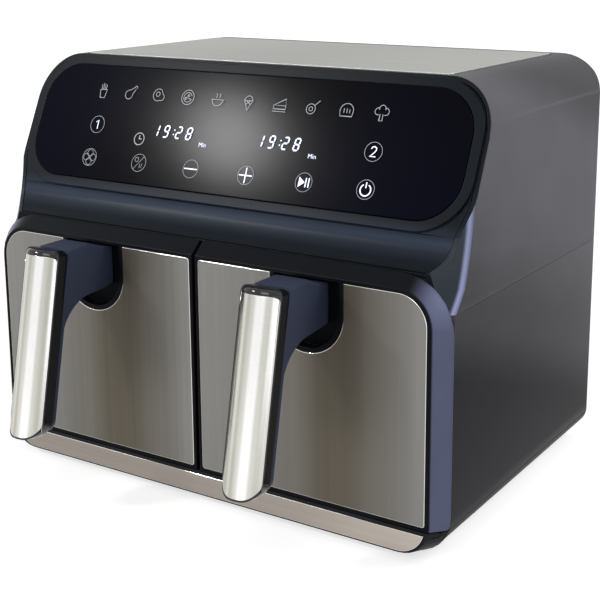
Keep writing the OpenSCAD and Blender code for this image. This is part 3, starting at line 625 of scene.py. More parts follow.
class FRYER_OT_shells(bpy.types.Operator):
    """Softens the body's shells and their corners"""

    bl_idname = "fryer.shells"
    bl_label = "Shells"

    def execute(self, context):
        tones, edge = colours(), sizes().shell_edge
        # Both shells get painted shade at the front foot and painted light under the rear top edge
        shell = finish("satin_shell", satin_shell, tones.lower, tones.shell)
        side = CAD_BOX[1].x
        # The rounded rims beside the front corners get a painted highlight; forward faces between
        # them get the fascia's plastic
        waist = finish(
            "waist_edge", waist_painted_highlight, tones.cove, tones.waist, shaded(tones.waist, 0.45),
            side - CORNER_RIM, side,
        )
        shape = cad_copy("upper_shell")
        for face in shape.faces:
            if face.normal.y < FORWARD:
                outer = abs(face.calc_center_median().x) > side - CORNER
                face.material_index = 1 if outer else 2
        stand_in("upper_shell", shape, shell, waist, fascia_plastic(), edge=edge)
        softened("lower_shell", shell, edge=edge)
        softened("base_tray", base_plastic())
        return {"FINISHED"}


class FRYER_OT_fascia(bpy.types.Operator):
    """Softens the control face and its glass"""

    bl_idname = "fryer.fascia"
    bl_label = "Control face"

    def execute(self, context):
        softened("front_fascia", fascia_plastic(), edge=sizes().shell_edge)
        softened("control_glass", finish("control_glass", glossy_glass, colours().glass))
        return {"FINISHED"}


class FRYER_OT_top_plate(bpy.types.Operator):
    """Brushed plate on the top"""

    bl_idname = "fryer.top_plate"
    bl_label = "Top plate"

    def execute(self, context):
        low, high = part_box("top_plate")
        tone = colours().top
        stops = [(0.0, tone), (0.5, shaded(tone, 0.9)), (1.0, tone)]
        steel = finish("top_steel", brushed, stops, low.x, high.x, 0, 0.36, rim=0.6)
        softened("top_plate", steel)
        return {"FINISHED"}


class FRYER_OT_rear(bpy.types.Operator):
    """Rear cover, outlets, gland and feet"""

    bl_idname = "fryer.rear"
    bl_label = "Rear and feet"

    def execute(self, context):
        matt = finish("matt_rubber", rubber, colours().rubber)
        for node in ("rear_cover", "outlet_grilles"):
            softened(node, base_plastic())
        for node in ("cord_gland", "rubber_feet"):
            softened(node, matt)
        return {"FINISHED"}


class FRYER_OT_strip(bpy.types.Operator):
    """Brushed strip under the drawers, with a polished edge"""

    bl_idname = "fryer.strip"
    bl_label = "Bottom strip"

    def execute(self, context):
        low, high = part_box("bottom_trim_strip")
        tone = colours().strip
        # Painted reflection: the strip brightens from its low X end to its high X end
        stops = [
            (0.0, shaded(tone, 0.88)), (0.3, shaded(tone, 0.9)), (0.62, tone),
            (1.0, shaded(tone, 1.35)),
        ]
        steel = finish("strip_steel", brushed, stops, low.x, high.x, along=0, roughness=0.34)
        polished_panel("bottom_trim_strip", steel)
        return {"FINISHED"}


# ---- Signs on the glass ----

# Each sign is a list of strokes in a square from -1 to 1. A stroke is a list of points, or
# the centre, the radius and the two angles of an arc.
SIGNS = {
    "fries": [
        [(-0.55, 0.15), (-0.38, -0.95), (0.38, -0.95), (0.55, 0.15), (-0.55, 0.15)],
        [(-0.34, 0.15), (-0.42, 0.85)], [(-0.12, 0.15), (-0.14, 1.0)],
        [(0.12, 0.15), (0.14, 0.9)], [(0.34, 0.15), (0.42, 0.8)],
    ],
    "drumstick": [
        ((-0.25, -0.25), 0.6, 80, 370), [(-0.15, 0.34), (0.5, 0.75)], [(0.34, -0.15), (0.72, 0.5)],
        ((0.72, 0.76), 0.18, -60, 200),
    ],
    "steak": [
        ((-0.1, 0.0), 0.8, 60, 300), ((0.45, -0.28), 0.45, -110, 60), [(0.67, 0.1), (0.3, 0.7)],
        ((-0.15, 0.1), 0.3, 0, 360),
    ],
    "pizza": [
        ((0.0, 0.0), 0.95, 0, 360), ((0.0, 0.0), 0.62, 20, 340), ((0.1, 0.2), 0.14, 0, 360),
        ((-0.25, -0.15), 0.14, 0, 360), [(0.05, -0.1), (0.6, -0.25)],
    ],
    "bowl": [
        ((0.0, 0.0), 0.8, 180, 360), [(-0.95, 0.0), (0.95, 0.0)], [(-0.35, -0.8), (0.35, -0.8)],
        [(-0.3, 0.25), (-0.15, 0.5), (-0.3, 0.8)], [(0.2, 0.25), (0.35, 0.5), (0.2, 0.8)],
    ],
    "cone": [
        [(-0.6, 0.2), (0.0, -1.0), (0.6, 0.2), (-0.6, 0.2)], ((0.0, 0.2), 0.6, 0, 180),
        [(-0.35, -0.3), (0.3, 0.2)], [(0.35, -0.3), (-0.3, 0.2)],
    ],
    "cake": [
        [(-0.9, -0.1), (0.75, 0.75), (0.85, -0.1), (-0.9, -0.1)],
        [(-0.9, -0.1), (-0.9, -0.55), (0.85, -0.55), (0.85, -0.1)], [(-0.95, -0.85), (0.95, -0.85)],
    ],
    "pan": [
        ((-0.25, -0.2), 0.62, 0, 360), [(0.2, 0.25), (0.85, 0.85)], ((-0.25, -0.2), 0.25, 0, 360),
    ],
    "loaf": [
        ((0.0, -0.1), 0.9, 0, 180), [(-0.9, -0.1), (-0.8, -0.75), (0.8, -0.75), (0.9, -0.1)],
        [(-0.35, -0.35), (-0.35, 0.2)], [(0.05, -0.35), (0.05, 0.2)], [(0.42, -0.35), (0.42, 0.1)],
    ],
    "greens": [
        ((0.0, 0.5), 0.42, -20, 200), ((-0.5, 0.15), 0.42, 70, 290), ((0.5, 0.15), 0.42, -110, 110),
        [(-0.18, -0.15), (-0.22, -0.95), (0.22, -0.95), (0.18, -0.15)],
    ],
    "ring": [((0.0, 0.0), 1.0, 0, 360)],
    "fan": [
        ((0.0, 0.48), 0.4, 0, 360), ((0.0, -0.48), 0.4, 0, 360), ((0.48, 0.0), 0.4, 0, 360),
        ((-0.48, 0.0), 0.4, 0, 360), ((0.0, 0.0), 0.1, 0, 360),
    ],
    "clock": [((0.0, 0.0), 0.8, 0, 360), [(0.0, 0.5), (0.0, 0.0), (0.4, 0.0)]],
    "heat": [
        [(-0.6, -0.75), (0.6, 0.75)], ((-0.35, 0.35), 0.25, 0, 360), [(0.2, -0.6), (0.2, -0.1)],
        [(0.45, -0.55), (0.45, -0.05)],
    ],
    "minus": [[(-0.85, 0.0), (0.85, 0.0)]],
    "plus": [[(-0.85, 0.0), (0.85, 0.0)], [(0.0, -0.85), (0.0, 0.85)]],
    "pause": [[(0.25, -0.5), (0.25, 0.5)], [(0.6, -0.5), (0.6, 0.5)]],
    "power": [((0.0, -0.05), 0.6, -240, 60), [(0.0, 0.15), (0.0, 0.75)]],
    "one": [[(-0.24, 0.26), (0.08, 0.52), (0.08, -0.52)]],
    "two": [[(-0.3, 0.28), (-0.18, 0.47), (0.06, 0.53), (0.27, 0.42), (0.3, 0.2), (0.14, -0.06),
             (-0.32, -0.5), (0.34, -0.5)]],
}
FOOD = ("fries", "drumstick", "steak", "pizza", "bowl", "cone", "cake", "pan", "loaf", "greens")

# The seven segments of a digit as pairs of points, one wide and two high
SEGMENTS = {
    "a": ((0, 2), (1, 2)), "b": ((1, 2), (1, 1)), "c": ((1, 1), (1, 0)), "d": ((0, 0), (1, 0)),
    "e": ((0, 1), (0, 0)), "f": ((0, 2), (0, 1)), "g": ((0, 1), (1, 1)),
}
LIT = {"1": "bc", "2": "abged", "8": "abcdefg", "9": "abcdfg"}
# Shares of a digit's height: its slant, half a segment's width, the step to the next digit,
# the colon's dots and the letters of the unit
DIGIT_SLANT = 0.16
SEGMENT_HALF = 0.06
DIGIT_STEP = 0.98
COLON_DOTS = (0.33, 0.67)
UNIT_LETTERS = 0.48
# Shares of that step: half of the four digits, the colon's place and the room it takes
DIGITS_HALF = 2.12
COLON = 2.02
COLON_ROOM = 0.22
# A level segment's length as a share of an upright one's, and the gap at a segment's ends as
# a share of half its width
LEVEL_SEGMENT = 0.92
SEGMENT_GAP = 0.35
# The arrow of the start symbol, in the square of the signs
ARROW = ((-0.62, -0.55), (0.12, 0.0), (-0.62, 0.55))

# Degrees between an arc's points, its fewest steps, and the least cosine of a mitred corner
ARC_STEP = 15
ARC_LEAST = 6
MITRE_LEAST = 0.6
# The clock's height as a share of the round symbols', and line widths as shares of the line's
CLOCK_SIZE = 0.86
RING_LINE = 0.62
FOOD_LINE = 0.9
CLOCK_LINE = 1.4
NUMBER_LINE = 1.7
BOLD_LINE = 2.1
# Places on the glass, from the middle of its face: heights, and middles across
SIGN_RISE = 0.05 * MM
STROKE_RISE = 0.1 * SIGN_RISE
SIGN_MIDDLE = -3.8 * MM
FOOD_MIDDLE = -4.7 * MM
FOOD_UP = 24.0 * MM
ROW_UP = -28.3 * MM
NUMBER_UP = -2.6 * MM
CLOCK_UP = -10.4 * MM
DIGITS_UP = -2.9 * MM
DIGITS_MIDDLES = (-50.0 * MM, 43.0 * MM)
UNIT_UP = -10.2 * MM
UNIT_OUT = 27.6 * MM


def glass_plane():
    """Matrix that stands flat work on the glass: X across, Y up the glass, Z out of it."""
    corners = [v.co for v in frame["nodes"]["control_glass"].data.vertices]
    foot = min(corners, key=lambda p: (round(p.z, 5), p.y))
    head = max(corners, key=lambda p: (round(p.z, 5), -p.y))
    middle = sum((Vector(p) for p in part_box("control_glass")), Vector()) / 2
    up = Vector((0.0, head.y - foot.y, head.z - foot.z)).normalized()
    out = Vector((1.0, 0.0, 0.0)).cross(up)
    front = max(corners, key=lambda p: p.dot(out))
    origin = Vector((0.0, middle.y, middle.z))
    origin += out * (front.dot(out) - origin.dot(out))
    turn = Matrix((Vector((1.0, 0.0, 0.0)), up, out)).transposed().to_4x4()
    return Matrix.Translation(origin) @ turn


def on_row(step, up):
    """Place of a round symbol, by its steps from the middle one and its height."""
    return (SIGN_MIDDLE + step * sizes().row_pitch, up)


def stroke_points(stroke):
    """Points of a stroke, and whether it closes."""
    if isinstance(stroke[1], (int, float)):
        centre, radius, start, end = stroke
        whole = end - start == 360
        count = max(ARC_LEAST, int(abs(end - start) / ARC_STEP))
        steps = range(count + (not whole))
        angles = [math.radians(start + (end - start) * i / count) for i in steps]
        points = [
            (centre[0] + radius * math.cos(a), centre[1] + radius * math.sin(a)) for a in angles
        ]
        return points, whole
    closes = stroke[0] == stroke[-1]
    return (stroke[:-1] if closes else stroke), closes


def add_stroke(shape, stroke, size, place, width, height):
    """Adds a flat band along a stroke, centred on its line."""
    points, closes = stroke_points(stroke)
    points = [Vector(p) * (size / 2) + Vector(place) for p in points]
    count = len(points)
    rows = []
    for i, point in enumerate(points):
        before = points[i - 1] if closes or i else point
        after = points[(i + 1) % count] if closes or i < count - 1 else point
        along = (after - before).normalized()
        out = Vector((-along.y, along.x)) * (width / 2)
        if closes or 0 < i < count - 1:
            leg = (after - point).normalized()
            out /= max(MITRE_LEAST, abs(out.normalized().dot(Vector((-leg.y, leg.x)))))
        rows.append([shape.verts.new((*(point + side * out), height)) for side in (-1, 1)])
    for i in range(count if closes else count - 1):
        a, b = rows[i], rows[(i + 1) % count]
        shape.faces.new((a[0], b[0], b[1], a[1]))


def add_sign(shape, name, size, place, width, rise=0.0):
    """Adds a sign's strokes, each by the rise over the one before."""
    for i, stroke in enumerate(SIGNS[name]):
        add_stroke(shape, stroke, size, place, width, i * rise)


def add_words(shape, words, size, place):
    """Adds flat lettering centred on a place."""
    text = bpy.data.curves.new("words", "FONT")
    text.body = words
    text.size = size
    text.align_x = "CENTER"
    text.align_y = "CENTER"
    text.resolution_u = 3
    holder = bpy.data.objects.new("words", text)
    mesh = bpy.data.meshes.new_from_object(holder)
    mesh.transform(Matrix.Translation((*place, 0.0)))
    shape.from_mesh(mesh)
    bpy.data.objects.remove(holder)
    bpy.data.curves.remove(text)
    bpy.data.meshes.remove(mesh)


def add_digit(shape, lit, size, place):
    """Adds the lit segments of one slanted digit; place is its lower left corner."""
    half = size * SEGMENT_HALF
    reach = size / 2 - half
    for name in lit:
        ends = [Vector(p) for p in SEGMENTS[name]]
        ends = [
            Vector((p.x * reach * LEVEL_SEGMENT + half, p.y * reach + half)) for p in ends
        ]
        along = (ends[1] - ends[0]).normalized() * half
        across = Vector((-along.y, along.x))
        a = ends[0] + along * SEGMENT_GAP
        b = ends[1] - along * SEGMENT_GAP
        outline = (
            a, a + along + across, b - along + across, b, b - along - across, a + along - across
        )
        shape.faces.new([
            shape.verts.new((place[0] + p.x + DIGIT_SLANT * p.y, place[1] + p.y, 0.0))
            for p in outline
        ])


def add_time(shape, digits, size, middle):
    """Adds lit digits with a colon after the second and the unit under their end."""
    step = size * DIGIT_STEP
    left, low = middle - DIGITS_HALF * step, DIGITS_UP - size / 2
    for i, digit in enumerate(digits):
        room = COLON_ROOM * step if i > 1 else 0.0
        add_digit(shape, LIT[digit], size, (left + i * step + room, low))
    for up in COLON_DOTS:
        dot = (left + COLON * step + DIGIT_SLANT * up * size, low + up * size, 0.0)
        bmesh.ops.create_circle(
            shape, cap_ends=True, radius=size * SEGMENT_HALF, segments=12,
            matrix=Matrix.Translation(dot),
        )
    add_words(shape, "Min", size * UNIT_LETTERS, (middle + UNIT_OUT, UNIT_UP))


def stand_on_glass(shape):
    """Gives flat work a thickness, faces it outward and stands it on the glass."""
    bmesh.ops.recalc_face_normals(shape, faces=shape.faces)
    down = [face for face in shape.faces if face.normal.z < 0]
    bmesh.ops.reverse_faces(shape, faces=down)
    made = bmesh.ops.extrude_face_region(shape, geom=shape.faces[:])
    raised = [v for v in made["geom"] if isinstance(v, bmesh.types.BMVert)]
    bmesh.ops.translate(shape, verts=raised, vec=(0.0, 0.0, SIGN_RISE))
    bmesh.ops.recalc_face_normals(shape, faces=shape.faces)
    bmesh.ops.transform(shape, matrix=glass_plane(), verts=shape.verts)


class FRYER_OT_dim_signs(bpy.types.Operator):
    """Dim printed symbols of the foods and settings"""

    bl_idname = "fryer.dim_signs"
    bl_label = "Printed symbols"

    def execute(self, context):
        size = sizes()
        shape = bmesh.new()
        thin = size.line * RING_LINE
        for i, name in enumerate(FOOD):
            place = (FOOD_MIDDLE + (i - 4.5) * size.food_pitch, FOOD_UP)
            add_sign(shape, name, size.food_height, place, size.line * FOOD_LINE)
        for i in range(6):
            for name in ("ring", *("fan", "heat")[i:i + 1]):
                add_sign(shape, name, size.sign_height, on_row(i - 2.5, ROW_UP), thin)
        for i in (-2.5, 2.5):
            add_sign(shape, "ring", size.sign_height, on_row(i, NUMBER_UP), thin)
        clock = on_row(-1.6, CLOCK_UP)
        add_sign(shape, "clock", size.sign_height * CLOCK_SIZE, clock, size.line * CLOCK_LINE)
        stand_on_glass(shape)
        dim = finish("printed_signs", glowing, colours().printed, 0.6)
        make_piece(shape, "printed_signs", "housing", [dim])
        return {"FINISHED"}


class FRYER_OT_lit_signs(bpy.types.Operator):
    """Lit digits and the bright symbols"""

    bl_idname = "fryer.lit_signs"
    bl_label = "Lit digits and symbols"

    def execute(self, context):
        size = sizes()
        shape = bmesh.new()
        for i, name in ((-0.5, "minus"), (0.5, "plus"), (1.5, "pause"), (2.5, "power")):
            place = on_row(i, ROW_UP)
            add_sign(shape, name, size.sign_height, place, size.line * BOLD_LINE, STROKE_RISE)
        at = Vector(on_row(1.5, ROW_UP))
        tips = [at + Vector(p) * (size.sign_height / 2) for p in ARROW]
        shape.faces.new([shape.verts.new((*tip, 0.0)) for tip in tips])
        for i, name in ((-2.5, "one"), (2.5, "two")):
            place = on_row(i, NUMBER_UP)
            add_sign(shape, name, size.sign_height, place, size.line * NUMBER_LINE)
        for middle in DIGITS_MIDDLES:
            add_time(shape, "1928", size.digit_height, middle)
        stand_on_glass(shape)
        lit = finish("lit_signs", glowing, colours().lit, 1.1)
        make_piece(shape, "lit_signs", "housing", [lit])
        return {"FINISHED"}


# ---- Drawers ----

# Reach of the painted reflection on the bevels from a front's outer side
BEVEL_NEAR = 29 * MM
BEVEL_FAR = 7 * MM
# Box round the recess behind a handle, over the table, and how far behind the front it starts; the
# recess gets painted shade
RECESS_HALF = 30 * MM
RECESS_FOOT = 125 * MM
RECESS_TOP = 183 * MM
RECESS_START = 0.2 * MM


class FRYER_OT_drawer_fronts(bpy.types.Operator):
    """Bevelled drawer fronts and the carriers behind them"""

    bl_idname = "fryer.drawer_fronts"
    bl_label = "Drawer fronts"

    def execute(self, context):
        tones = colours()
        recess = finish("recess_plastic", plastic, tones.recess, 0.5, specular=0.04)
        for side in SIDES:
            node = side + "drawer_front"
            low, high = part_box(node)
            outer = max(abs(low.x), abs(high.x))
            # Drawer fronts get a painted reflection on their outer bevels and painted light towards
            # the top
            front = finish(
                "drawer_plastic", bevels_painted_highlight, tones.drawer, tones.bevel,
                outer - BEVEL_NEAR, outer - BEVEL_FAR, low.y, high.z,
            )
            shape = cad_copy(node)
            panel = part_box(side + "steel_panel")
            middle = (panel[0].x + panel[1].x) / 2
            # Faces in the recess get a darker, duller plastic as painted shade
            for face in shape.faces:
                if all(self.in_recess(v.co, middle, low.y) for v in face.verts):
                    face.material_index = 1
            stand_in(node, shape, front, recess, edge=sizes().drawer_edge)
            softened(side + "drawer_inner", base_plastic())
        return {"FINISHED"}

    def in_recess(self, point, middle, front):
        """Tells the points of the round-bottomed recess behind a handle."""
        inside = abs(point.x - middle) < RECESS_HALF and RECESS_FOOT < point.z < RECESS_TOP
        return inside and point.y > front + RECESS_START


class FRYER_OT_steel_panels(bpy.types.Operator):
    """Brushed steel panels with polished edges"""

    bl_idname = "fryer.steel_panels"
    bl_label = "Steel panels"

    def execute(self, context):
        light, dark = colours().steel_light, colours().steel_dark
        # Painted reflection: pale near each panel's sides and darkest just past its middle
        middle = blended(light, dark)
        stops = [
            (0.0, light), (0.22, shaded(light, 0.9)), (0.42, middle), (0.58, dark), (0.66, dark),
            (0.84, middle), (1.0, light),
        ]
        for side in SIDES:
            low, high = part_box(side + "steel_panel")
            steel = finish(
                side + "panel_steel", brushed, stops, low.x, high.x, roughness=0.5, metallic=0.85
            )
            polished_panel(side + "steel_panel", steel)
        return {"FINISHED"}


# ---- Handles ----

# A grip leans in its section: BACK and UP values are millimetres in that leaning section,
# measured from the front of its top, which stands GRIP_OUT before the drawer's front and
# GRIP_TOP over the table.
LEAN = math.radians(11.4)
GRIP_OUT = 50.0
GRIP_TOP = 181.0
CORE_BACK = 11.0
SPINE_BACK = 15.0
SPINE_FOOT = -125.0
SPINE_ROUND = 10.0
# An arm's half width, the height of its underside and the rise of that to the root, and how
# far the root lies behind the drawer's front
ARM_HALF = 13.75
ARM_LOW = 147.0
ARM_RISE = 2.0
ARM_ROOT = 7.0
# Radius of the arch between the underside and the spine, how far it sinks into the spine's
# back and how near to that its points come
ARCH = 32.0
ARCH_SINK = 0.4
ARCH_NEAR = 0.3
# How far an arm starts over the grip's top, then depths and heights of its top edge
ARM_OVER = 3.0
ARM_TOP = ((-16.0, 184.0), (-4.0, 178.5), (ARM_ROOT, 177.5))
# Half width, ends and corner radii of a core, then the round front of the steel shell over it
CORE_HALF = 15.8
CORE_FOOT = -127.8
CORE_TOP = 4.8
CORE_TOP_ROUND = 4.8
CORE_FOOT_ROUND = 12.8
GRIP_HALF = 15.0
BULGE = 8.0
BULGE_ROUND = (GRIP_HALF ** 2 + BULGE ** 2) / (2 * BULGE)
# How far over the grip's top the cap starts, and the levels of its rounded end
CAP_FOOT = 0.02
CAP_LEVELS = (1.0, 2.0, 2.8, 3.4, 3.8, 4.0)
# How far behind the grip's front the cap and the rim reach
CAP_BACK = 1.0
# The rim round the foot of the steel shell: the middle and the two radii of its arc, and half
# of the flat at its foot
RIM_MIDDLE = -115.0
RIM_REACH = (12.02, 13.2)
RIM_FLAT = 3.0
# Wider than any edge has room for
ALL_ROOM = 1.0


def on_grip(back, up):
    """Turns millimetres in the grip's leaning section into a depth and a height."""
    turned = back * math.cos(LEAN) + up * math.sin(LEAN)
    return turned - GRIP_OUT, GRIP_TOP - back * math.sin(LEAN) + up * math.cos(LEAN)


def off_grip(depth, height):
    """Turns a depth and a height in millimetres back into the grip's leaning section."""
    depth, height = depth + GRIP_OUT, height - GRIP_TOP
    back = depth * math.cos(LEAN) - height * math.sin(LEAN)
    return back, depth * math.sin(LEAN) + height * math.cos(LEAN)


def extruded(shape, points):
    """Makes a face through points and extrudes it. Gives the corners of the new end."""
    face = shape.faces.new([shape.verts.new(point) for point in points])
    made = bmesh.ops.extrude_face_region(shape, geom=[face])["geom"]
    return [part for part in made if isinstance(part, bmesh.types.BMVert)]


def rounded(shape, edges, width):
    """Rounds edges by a width, or by as much as there is room for."""
    bmesh.ops.bevel(
        shape, geom=edges, offset=width, offset_type="OFFSET", segments=4, profile=0.5,
        affect="EDGES", clamp_overlap=True, material=-1,
    )


def arm_outline():
    """Side view of an arm from the top of the spine's front to the spine's back."""
    points = [on_grip(CORE_BACK, ARM_OVER / math.cos(LEAN) + CORE_BACK * math.tan(LEAN))]
    points += [*ARM_TOP, (ARM_ROOT, ARM_LOW + ARM_RISE)]
    slope = math.tan(LEAN)
    foot = SPINE_BACK / math.cos(LEAN) - GRIP_OUT
    mid_z = ARM_LOW - ARCH
    mid_y = foot - (GRIP_TOP - mid_z) * slope + ARCH - ARCH_SINK
    for turn in range(90, 186, 4):
        angle = math.radians(turn)
        y, z = mid_y + ARCH * math.cos(angle), mid_z + ARCH * math.sin(angle)
        if y < foot - (GRIP_TOP - z) * slope + ARCH_NEAR:
            break
        points.append((y, z))
    return points


def arm_shape(middle, depth, edge):
    """Arm and spine: their side view extruded, narrowed at the foot and rounded along its sides."""
    shape = bmesh.new()
    outline = arm_outline()
    start = (outline[-1][1] - GRIP_TOP) / math.cos(LEAN) + 1.0
    turns = [math.sin(math.radians(10 * i)) for i in range(6)]
    ups = [start] + [SPINE_FOOT + SPINE_ROUND * (1 - turn) for turn in turns]
    front = [on_grip(CORE_BACK, up) for up in ups]
    back = [on_grip(SPINE_BACK, up) for up in ups]
    corners = [
        shape.verts.new((0.0, depth + y * MM, z * MM))
        for y, z in (*reversed(front), *outline, *back)
    ]
    shape.faces.new(corners)
    for i in range(1, len(ups)):
        bmesh.ops.connect_verts(shape, verts=[corners[i], corners[-1 - i]])
    made = bmesh.ops.extrude_face_region(shape, geom=shape.faces[:])["geom"]
    far = {part for part in made if isinstance(part, bmesh.types.BMVert)}
    for vert in shape.verts:
        up = off_grip((vert.co.y - depth) / MM, vert.co.z / MM)[1]
        past = max(0.0, SPINE_FOOT + SPINE_ROUND - up)
        half = ARM_HALF - SPINE_ROUND + math.sqrt(max(0.0, SPINE_ROUND ** 2 - past ** 2))
        vert.co.x = middle + (half if vert in far else -half) * MM
    bmesh.ops.recalc_face_normals(shape, faces=shape.faces)
    lines = []
    for line in shape.edges:
        one, other = (v.co for v in line.verts)
        level = abs(one.x - middle) > 0 and (one.x > middle) == (other.x > middle)
        behind = max(off_grip((p.y - depth) / MM, p.z / MM)[0] for p in (one, other))
        if level and behind > CORE_BACK + 1 and line.calc_face_angle() > CREASE:
            lines.append(line)
    rounded(shape, lines, edge)
    return shape


def core_outline():
    """Front view of a grip core, as points across and up."""
    points = []
    for side, end, radius, start in (
        (1, CORE_TOP, CORE_TOP_ROUND, 0), (-1, CORE_TOP, CORE_TOP_ROUND, 90),
        (-1, CORE_FOOT, CORE_FOOT_ROUND, 180), (1, CORE_FOOT, CORE_FOOT_ROUND, 270),
    ):
        x, up = side * (CORE_HALF - radius), end - math.copysign(radius, end)
        for i in range(10):
            angle = math.radians(start + 10 * i)
            points.append((x + radius * math.cos(angle), up + radius * math.sin(angle)))
    return points


def bulge_front(x):
    """Depth of the grip's rounded front in its own section."""
    return BULGE_ROUND - BULGE - math.sqrt(BULGE_ROUND ** 2 - x ** 2)


def core_shape(middle, depth):
    """Gloss core of a grip, with the cap over its steel shell and the rim under it."""

    def place(x, back, up):
        y, z = on_grip(back, up)
        return Vector((middle + x * MM, depth + y * MM, z * MM))

    shape = bmesh.new()
    deep = place(0.0, CORE_BACK, 0.0) - place(0.0, 0.0, 0.0)
    end = extruded(shape, [place(x, 0.0, up) for x, up in core_outline()])
    bmesh.ops.translate(shape, vec=deep, verts=end)
    rounded(shape, [e for e in shape.edges if all(v in end for v in e.verts)], ALL_ROOM)
    add_cap(shape, place)
    # Rim round the foot of the steel shell, which follows its round front
    band = []
    for reach in RIM_REACH:
        side = []
        for i in range(-8, 9):
            angle = math.radians(270 + 8 * i)
            x = RIM_FLAT * ((i > 0) - (i < 0)) + reach * math.cos(angle)
            side.append((x, RIM_MIDDLE + reach * math.sin(angle)))
        band += side if reach == RIM_REACH[0] else reversed(side)
    for vert in extruded(shape, [place(x, CAP_BACK, up) for x, up in band]):
        x = (vert.co.x - middle) / MM
        up = off_grip((vert.co.y - depth) / MM, vert.co.z / MM)[1]
        vert.co = place(x, bulge_front(x), up)
    bmesh.ops.recalc_face_normals(shape, faces=shape.faces)
    return shape


def add_cap(shape, place):
    """Adds the cap over the steel shell, narrower towards its rounded top."""
    across = [1.25 * i - GRIP_HALF for i in range(25)]
    section = [(x, bulge_front(x)) for x in across]
    section += [(GRIP_HALF, CAP_BACK), (-GRIP_HALF, CAP_BACK)]
    face = shape.faces.new([shape.verts.new(place(x, back, CAP_FOOT)) for x, back in section])
    level, width = CAP_FOOT, 1.0
    height = CAP_LEVELS[-1]
    for up in CAP_LEVELS:
        made = bmesh.ops.extrude_face_region(shape, geom=[face])["geom"]
        if width < 1.0:
            shape.faces.remove(face)
        end = [part for part in made if isinstance(part, bmesh.types.BMVert)]
        face = next(part for part in made if isinstance(part, bmesh.types.BMFace))
        share = 1 - (height - math.sqrt(height ** 2 - up ** 2)) / GRIP_HALF
        centre = place(0.0, 0.0, level)
        resize = Matrix.Translation(place(0.0, 0.0, up)) @ Matrix.Scale(share / width, 4)
        bmesh.ops.transform(shape, matrix=resize @ Matrix.Translation(-centre), verts=end)
        level, width = up, share


class FRYER_OT_handles(bpy.types.Operator):
    """Handle arms and grips with their polished steel shells"""

    bl_idname = "fryer.handles"
    bl_label = "Handles"

    def execute(self, context):
        tones = colours()
        arm = finish("arm_plastic", plastic, tones.arm, 0.34, specular=0.2)
        core = finish("grip_gloss", plastic, tones.grip, 0.14, 4000.0, 0.004, specular=0.45)
        # Painted reflection: bands of bright, cream and dark across each grip's steel
        light, dark = tones.grip_light, tones.grip_dark
        cream = blended(light, dark, 2 / 3)
        stops = [
            (0.0, light), (0.05, dark), (0.2, dark), (0.3, cream), (0.38, dark), (0.5, cream),
            (0.6, light), (0.72, light), (0.8, cream), (0.92, dark), (1.0, cream),
        ]
        for side in SIDES:
            low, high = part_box(side + "handle_arm")
            middle, depth = (low.x + high.x) / 2, high.y - ARM_ROOT * MM
            stand_in(side + "handle_arm", arm_shape(middle, depth, sizes().arm_edge), arm)
            stand_in(side + "grip_core", core_shape(middle, depth), core)
            low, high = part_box(side + "grip_shell")
            steel = finish(
                side + "grip_steel", brushed, stops, low.x, high.x, roughness=0.22, contrast=0.02
            )
            softened(side + "grip_shell", steel)
        return {"FINISHED"}


class FRYER_OT_baskets(bpy.types.Operator):
    """Coated baskets with their crisper plates"""

    bl_idname = "fryer.baskets"
    bl_label = "Baskets"

    def execute(self, context):
        coat = finish("non_stick", coating, colours().coating)
        pad = finish("pad_rubber", rubber, display(60, 60, 62))
        for side in SIDES:
            softened(side + "basket", coat)
            softened(side + "crisper_plate", coat)
            softened(side + "crisper_pads", pad)
        return {"FINISHED"}


# ---- Works inside ----


class FRYER_OT_works(bpy.types.Operator):
    """Finishes of the chambers, fans, motors, boards and other pieces inside"""

    bl_idname = "fryer.works"
    bl_label = "Works inside"

    def execute(self, context):
        tones = colours()
        made = {
            "sheet_steel": finish("sheet_steel", sheet_metal, tones.sheet),
            "guard_wire": finish("plated_wire", polished, display(190, 192, 194), 0.2),
            "heater_tube": finish("heater_tube", sheet_metal, display(74, 66, 60), 0.5),
            "fan_aluminium": finish("fan_aluminium", sheet_metal, display(196, 198, 200), 0.32),
            "motor_steel": finish("motor_steel", sheet_metal, display(136, 138, 140), 0.42),
            "screw_steel": finish("screw_steel", polished, display(176, 178, 180), 0.25),
            "circuit_board": finish("circuit_board", circuit_board),
            "component_plastic": finish("component_plastic", plastic, display(46, 48, 52), 0.45),
            "ceramic_body": finish("ceramic_body", ceramic, display(232, 228, 218)),
            "wire_sleeve": finish("wire_sleeve", rubber, display(214, 208, 196)),
            "led_module": finish("module_case", plastic, display(210, 214, 220), 0.5),
            "base_plastic": base_plastic(),
        }
        for node, piece in frame["nodes"].items():
            if not piece.hide_render:
                paint_node(node, made[slot_of(node)])
        return {"FINISHED"}


# ---- Stage ----

# Name, power, place, width and colour of each lamp that faces the object's middle
LAMPS = (
    ("key_lamp", "key", (0.5, -2.0, 1.75), 1.3, (1.0, 1.0, 1.0)),
    ("side_lamp", "side", (1.0, 0.5, 0.95), 0.6, (1.0, 1.0, 1.0)),
    ("low_lamp", "low", (1.3, -0.85, 0.2), 0.7, (0.78, 0.84, 1.0)),
    ("top_lamp", "overhead", (0.1, 0.3, 1.8), 1.4, (1.0, 1.0, 1.0)),
)
# The glow that the glass mirrors: its place on the glass, and its lamp's distance and width
GLOW = Vector((-3.0, 14.0, 0.0)) * MM
GLOW_AWAY = 1.6
GLOW_WIDTH = 0.16
# The floor's radius, the distances between which it turns as white as the room, and its levels
FLOOR_RADIUS = 40.0
FLOOR_FADE = (0.4, 2.0)
FLOOR_LEVELS = (0.7, 1.0)


